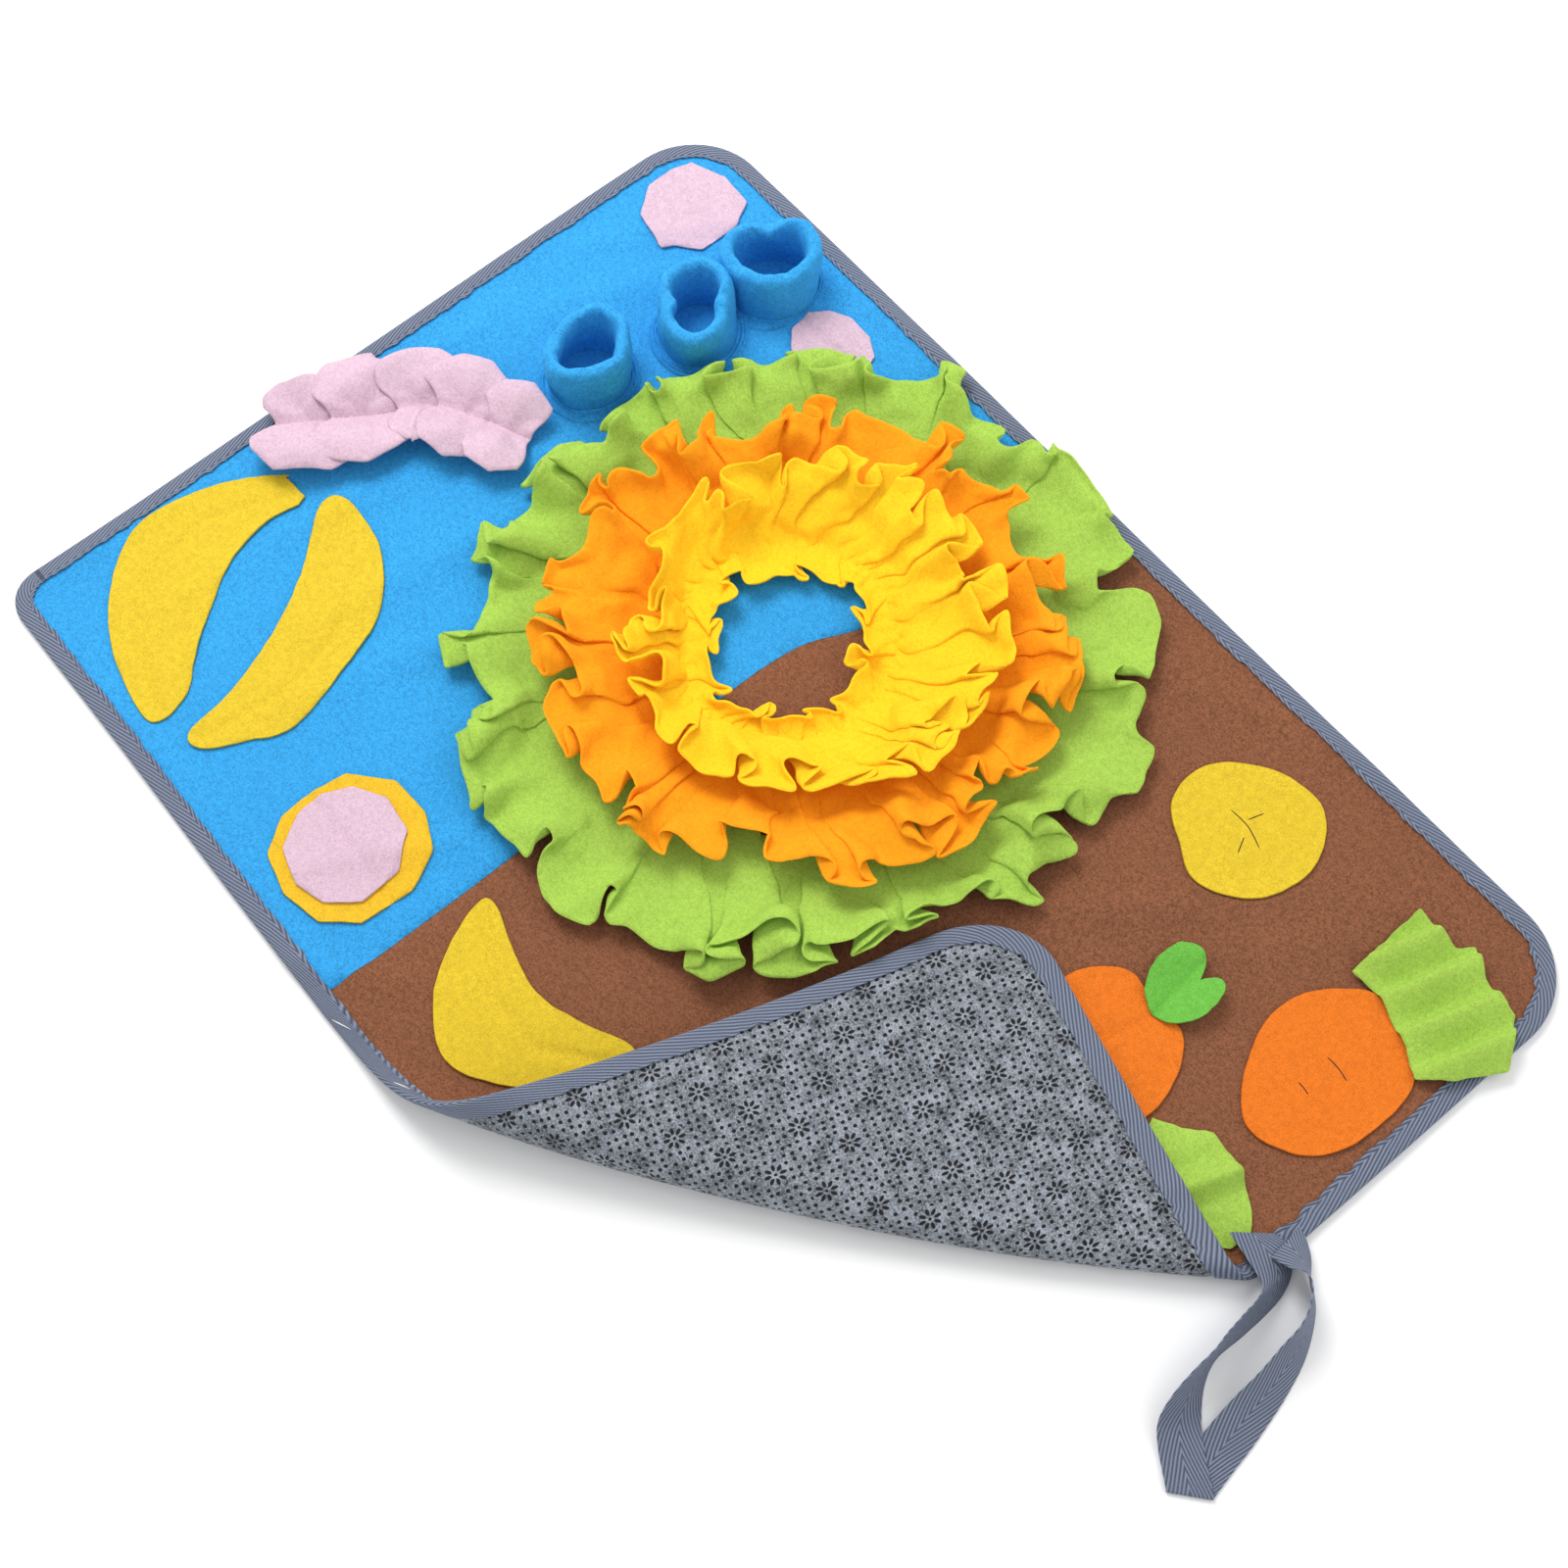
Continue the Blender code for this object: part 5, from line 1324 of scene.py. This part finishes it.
def free_edge(edge, stations, seed, radius):
    """The way a free edge heads at each station, as an angle off the ring.

    Turns that would bring two parts of the edge together are opened step by step.
    """
    rows, long = turns_of(edge, seed)
    middles, halves, turns = rows.T
    places = (np.arange(stations) + 0.5) / stations * long
    off = (places[:, None] - middles + long / 2) % long - long / 2
    around = 2 * np.pi * places / long
    sways = [amount * ring_noise(around, size, seed + more) for amount, size, more in EDGE_SWAYS]
    near_turn, left = OPENED
    for _ in range(OPENINGS + 1):
        way = sum(sways, (turns * np.exp(-(off / halves) ** 4)).sum(1))
        angle, spread = wound(way, radius, WINDINGS[edge][-1])
        x, y = spread * np.cos(angle), spread * np.sin(angle)
        step = np.hypot(np.diff(x), np.diff(y)).mean()
        near = np.zeros(stations, bool)
        for shift in range(*(int(run / step) for run in GAP_RUN)):
            close = np.hypot(x - np.roll(x, shift), y - np.roll(y, shift)) < LEAST_GAP
            near |= close | np.roll(close, -shift)
        if not near.any():
            break
        turns[(np.abs(off[near]) < near_turn * halves).any(0)] *= left
    return way


def cell_of(points):
    """Where points are in the grids, in cells."""
    return (np.clip((points[..., k] - RING_CENTRE[k] + RING_SPAN) / CELL, 0, CELLS - 1.001) for k in (0, 1))


def nearest_cells(points):
    return tuple(place.round().astype(int).ravel() for place in cell_of(points))


def read_grid(grid, points):
    x, y = cell_of(points)
    i, j = x.astype(int), y.astype(int)
    u, v = x - i, y - j
    return (grid[i, j] * (1 - u) * (1 - v) + grid[i + 1, j] * u * (1 - v)
            + grid[i, j + 1] * (1 - u) * v + grid[i + 1, j + 1] * u * v)


def spread_grid(grid, reach, chosen):
    """A grid whose cells are the highest or the mean of those within reach."""
    for axis in (0, 1):
        grid = chosen([np.roll(grid, k, axis) for k in range(-reach, reach + 1)], 0)
    return grid


def height_grid(lanes, below):
    """The top of what lies on the mat, never under the cloth itself."""
    grid = below.copy()
    np.maximum.at(grid, nearest_cells(lanes), lanes[..., 2].ravel() + RUFFLE / 2)
    return spread_grid(spread_grid(grid, 3, np.max), 2, np.mean)


def crowding(lanes):
    """0 where the cloth lies flat, 1 where its folds crowd together."""
    grid = np.zeros((CELLS + 1, CELLS + 1))
    steps = length_of((np.roll(lanes, -1, 1) - lanes)[..., :2])
    np.add.at(grid, nearest_cells(lanes), steps.ravel())
    for _ in range(3):
        grid = spread_grid(grid, 3, np.mean)
    low, high = np.percentile(read_grid(grid, lanes), CROWDED)
    return spread_grid(np.clip((grid - low) / (high - low), 0, 1), 1, np.mean)


def ring_lanes(row, reach, below):
    """The middle of a ring's cloth: (lanes from the inner edge out, stations round it, 3)."""
    name, stations, count, seed, sewn_shift, edge_shift, slack, profile = row
    profile = np.array(profile)
    shares = np.linspace(profile[0, 0], profile[-1, 0], count)
    outside = (free_edge(name, stations, seed, profile[-1, 1]), WINDINGS[name][-1], edge_shift, 1.0)
    inside, inside_name = outside, name + "_inside"
    if inside_name in WINDINGS:
        inside = (free_edge(inside_name, stations, seed + 1, profile[0, 1]), WINDINGS[inside_name][-1],
                  INSIDE_SHIFT, INSIDE_END)
    mean = 0.5 * (outside[0] + inside[0])
    around = np.arange(stations) / stations * 2 * np.pi
    stray, size, more = GATHER_WANDER
    gathers = GATHERS[1] * np.sin(around * GATHERS[0] + stray * ring_noise(around, size, seed + more))
    lanes = []
    for share, (radius, height, winding) in zip(shares, read_line(shares, profile[:, 0], profile[:, 1:])):
        away = abs(share)
        base, limits, shift, end = outside if share >= 0 else inside
        way = mix(base, mean, 0.5 * max(0.0, 1 - away / SEWN_SHARE)) * winding
        way = way + gathers * max(0.0, 1 - away / GATHER_REACH) ** GATHER_FADE
        angle, spread = wound(way, radius, limits)
        widest = np.interp(np.degrees(angle) % 360, np.arange(361), np.append(reach, reach[0]))
        spread = held_under(spread, widest, REACH_EASE)
        centre = np.array(RING_CENTRE) + mix(np.array(sewn_shift), np.array(shift), away / end)
        lanes.append(np.column_stack([centre + spread[:, None] * compass(angle), np.full(stations, height)]))
    lanes = np.stack(lanes)
    scale = mix(*slack, read_grid(crowding(lanes[count // 2:]), lanes))
    bumps = noise_at(lanes.reshape(-1, 3), BUMP_SIZE, seed).reshape(scale.shape)
    scale = scale * (1 + BUMP_SHARE * bumps)
    tall = read_grid(below, lanes) + RUFFLE / 2 + RESTING_GAP + lanes[..., 2] * scale
    lanes[..., 2] = held_under(tall, TALLEST, TALL_EASE)
    return lanes


def crumpled(points):
    """Pushes the cloth about, as if it had been handled."""
    flat = points.reshape(-1, 3)
    moved = flat.copy()
    tall = smooth((flat[:, 2] - CRUMPLED_FROM) / CRUMPLED_REACH)
    for index, (size, *amounts) in enumerate(CRUMPLES):
        for axis, amount in enumerate(amounts):
            height = flat[:, 2] / size * 0.8 + 7 * index + 31 * axis
            moved[:, axis] += amount * noise_at(flat, size, height) * tall
    return moved.reshape(points.shape)


def thick_ring(lanes):
    """(points, faces) of a closed ring of cloth round its middle surface, with rounded cut edges."""
    across = np.gradient(lanes, axis=0)
    normal = unit(np.cross(across, np.roll(lanes, -1, 1) - np.roll(lanes, 1, 1)))
    out = unit(across)
    half = RUFFLE / 2
    first, last = lanes[0] - out[0] * half * RIM_ROUND[0], lanes[-1] + out[-1] * half * RIM_ROUND[1]
    rings = np.stack([first, *(lanes + normal * half), last, *(lanes - normal * half)[::-1]])
    return rings.reshape(-1, 3), swept(rings, closed=True)


def make_rings():
    """From the outer ring in, each on top of what lies there."""
    blocked = obstacles()
    below = np.full((CELLS + 1, CELLS + 1), PATCH_FLOOR)
    for row in RINGS:
        name, profile = row[0], row[-1]
        widest = profile[-1][1] + WINDINGS[name][-1][1]
        reach = free_reach(widest, blocked if row is RINGS[0] else blocked[:1])
        lanes = ring_lanes(row, reach, below)
        below = height_grid(lanes, below)
        lanes = crumpled(lanes)
        over_binding = smooth((lanes[..., 1] - WIDTH / 2 + 1.5 * RAMP_END) / RAMP_END)
        lanes[..., 2] += (DRAPE_CLEARANCE + 0.001) * over_binding
        lanes = settle(lanes.reshape(-1, 3), 0.5).reshape(lanes.shape)
        lanes[..., 2] = np.maximum(lanes[..., 2], PATCH_FLOOR + RUFFLE / 2 + LEAST_LIFT)
        slot = name.replace("ruffle_", "") + "_fleece"
        made = piece(name + "_cloth", *thick_ring(lanes), slot, name, sharp=70)


# Floor, light and camera.


def make_floor():
    bpy.ops.mesh.primitive_plane_add(size=14, location=(0, 0, -0.0004))
    floor = bpy.context.object
    floor.name = "floor"
    tree = Tree("floor", 0.9, 0.0, (1.0, 1.0, 1.0), 0.0)
    tree.shader.inputs["Base Color"].default_value = (0.93, 0.93, 0.93, 1.0)
    floor.data.materials.append(tree.material)


def make_light():
    world = bpy.data.worlds.new("studio")
    bpy.context.scene.world = world
    world.use_nodes = True
    background = world.node_tree.nodes["Background"]
    background.inputs["Color"].default_value = (1.0, 1.0, 1.0, 1.0)
    background.inputs["Strength"].default_value = SKY
    for name, place, size, energy in LIGHTS:
        data = bpy.data.lights.new(name, "AREA")
        data.energy = energy
        data.size = size
        lamp = bpy.data.objects.new(name, data)
        lamp.location = place
        lamp.rotation_euler = (-Vector(place)).to_track_quat("-Z", "Y").to_euler()
        bpy.context.scene.collection.objects.link(lamp)


def make_camera():
    data = bpy.data.cameras.new("camera")
    data.lens = CAMERA_LENS
    data.sensor_width = 36
    camera = bpy.data.objects.new("camera", data)
    place = Matrix((CAMERA_RIGHT, CAMERA_UP, CAMERA_BACK)).transposed().to_4x4()
    place.translation = Vector(CAMERA_PLACE)
    camera.matrix_world = place
    bpy.context.scene.collection.objects.link(camera)
    bpy.context.scene.camera = camera


for left_over in list(bpy.data.objects):
    bpy.data.objects.remove(left_over)
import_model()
bpy.context.scene.view_settings.view_transform = "Standard"
for slot, make, colour, *rest in MATERIALS:
    SHADERS[slot] = make(slot.replace("_", " "), colour, *rest)
make_camera()
make_light()
make_floor()
make_mat()
make_binding()
make_strap()
for index, row in enumerate(PATCHES):
    make_patch(row, 5.3 * index)
for row in LEAVES:
    make_leaf(*row)
for index, row in enumerate(POCKETS):
    make_pocket(row, 3.1 * index)
for index, row in enumerate(PETALS):
    make_petal(row, 2.7 * index + 1)
make_rings()
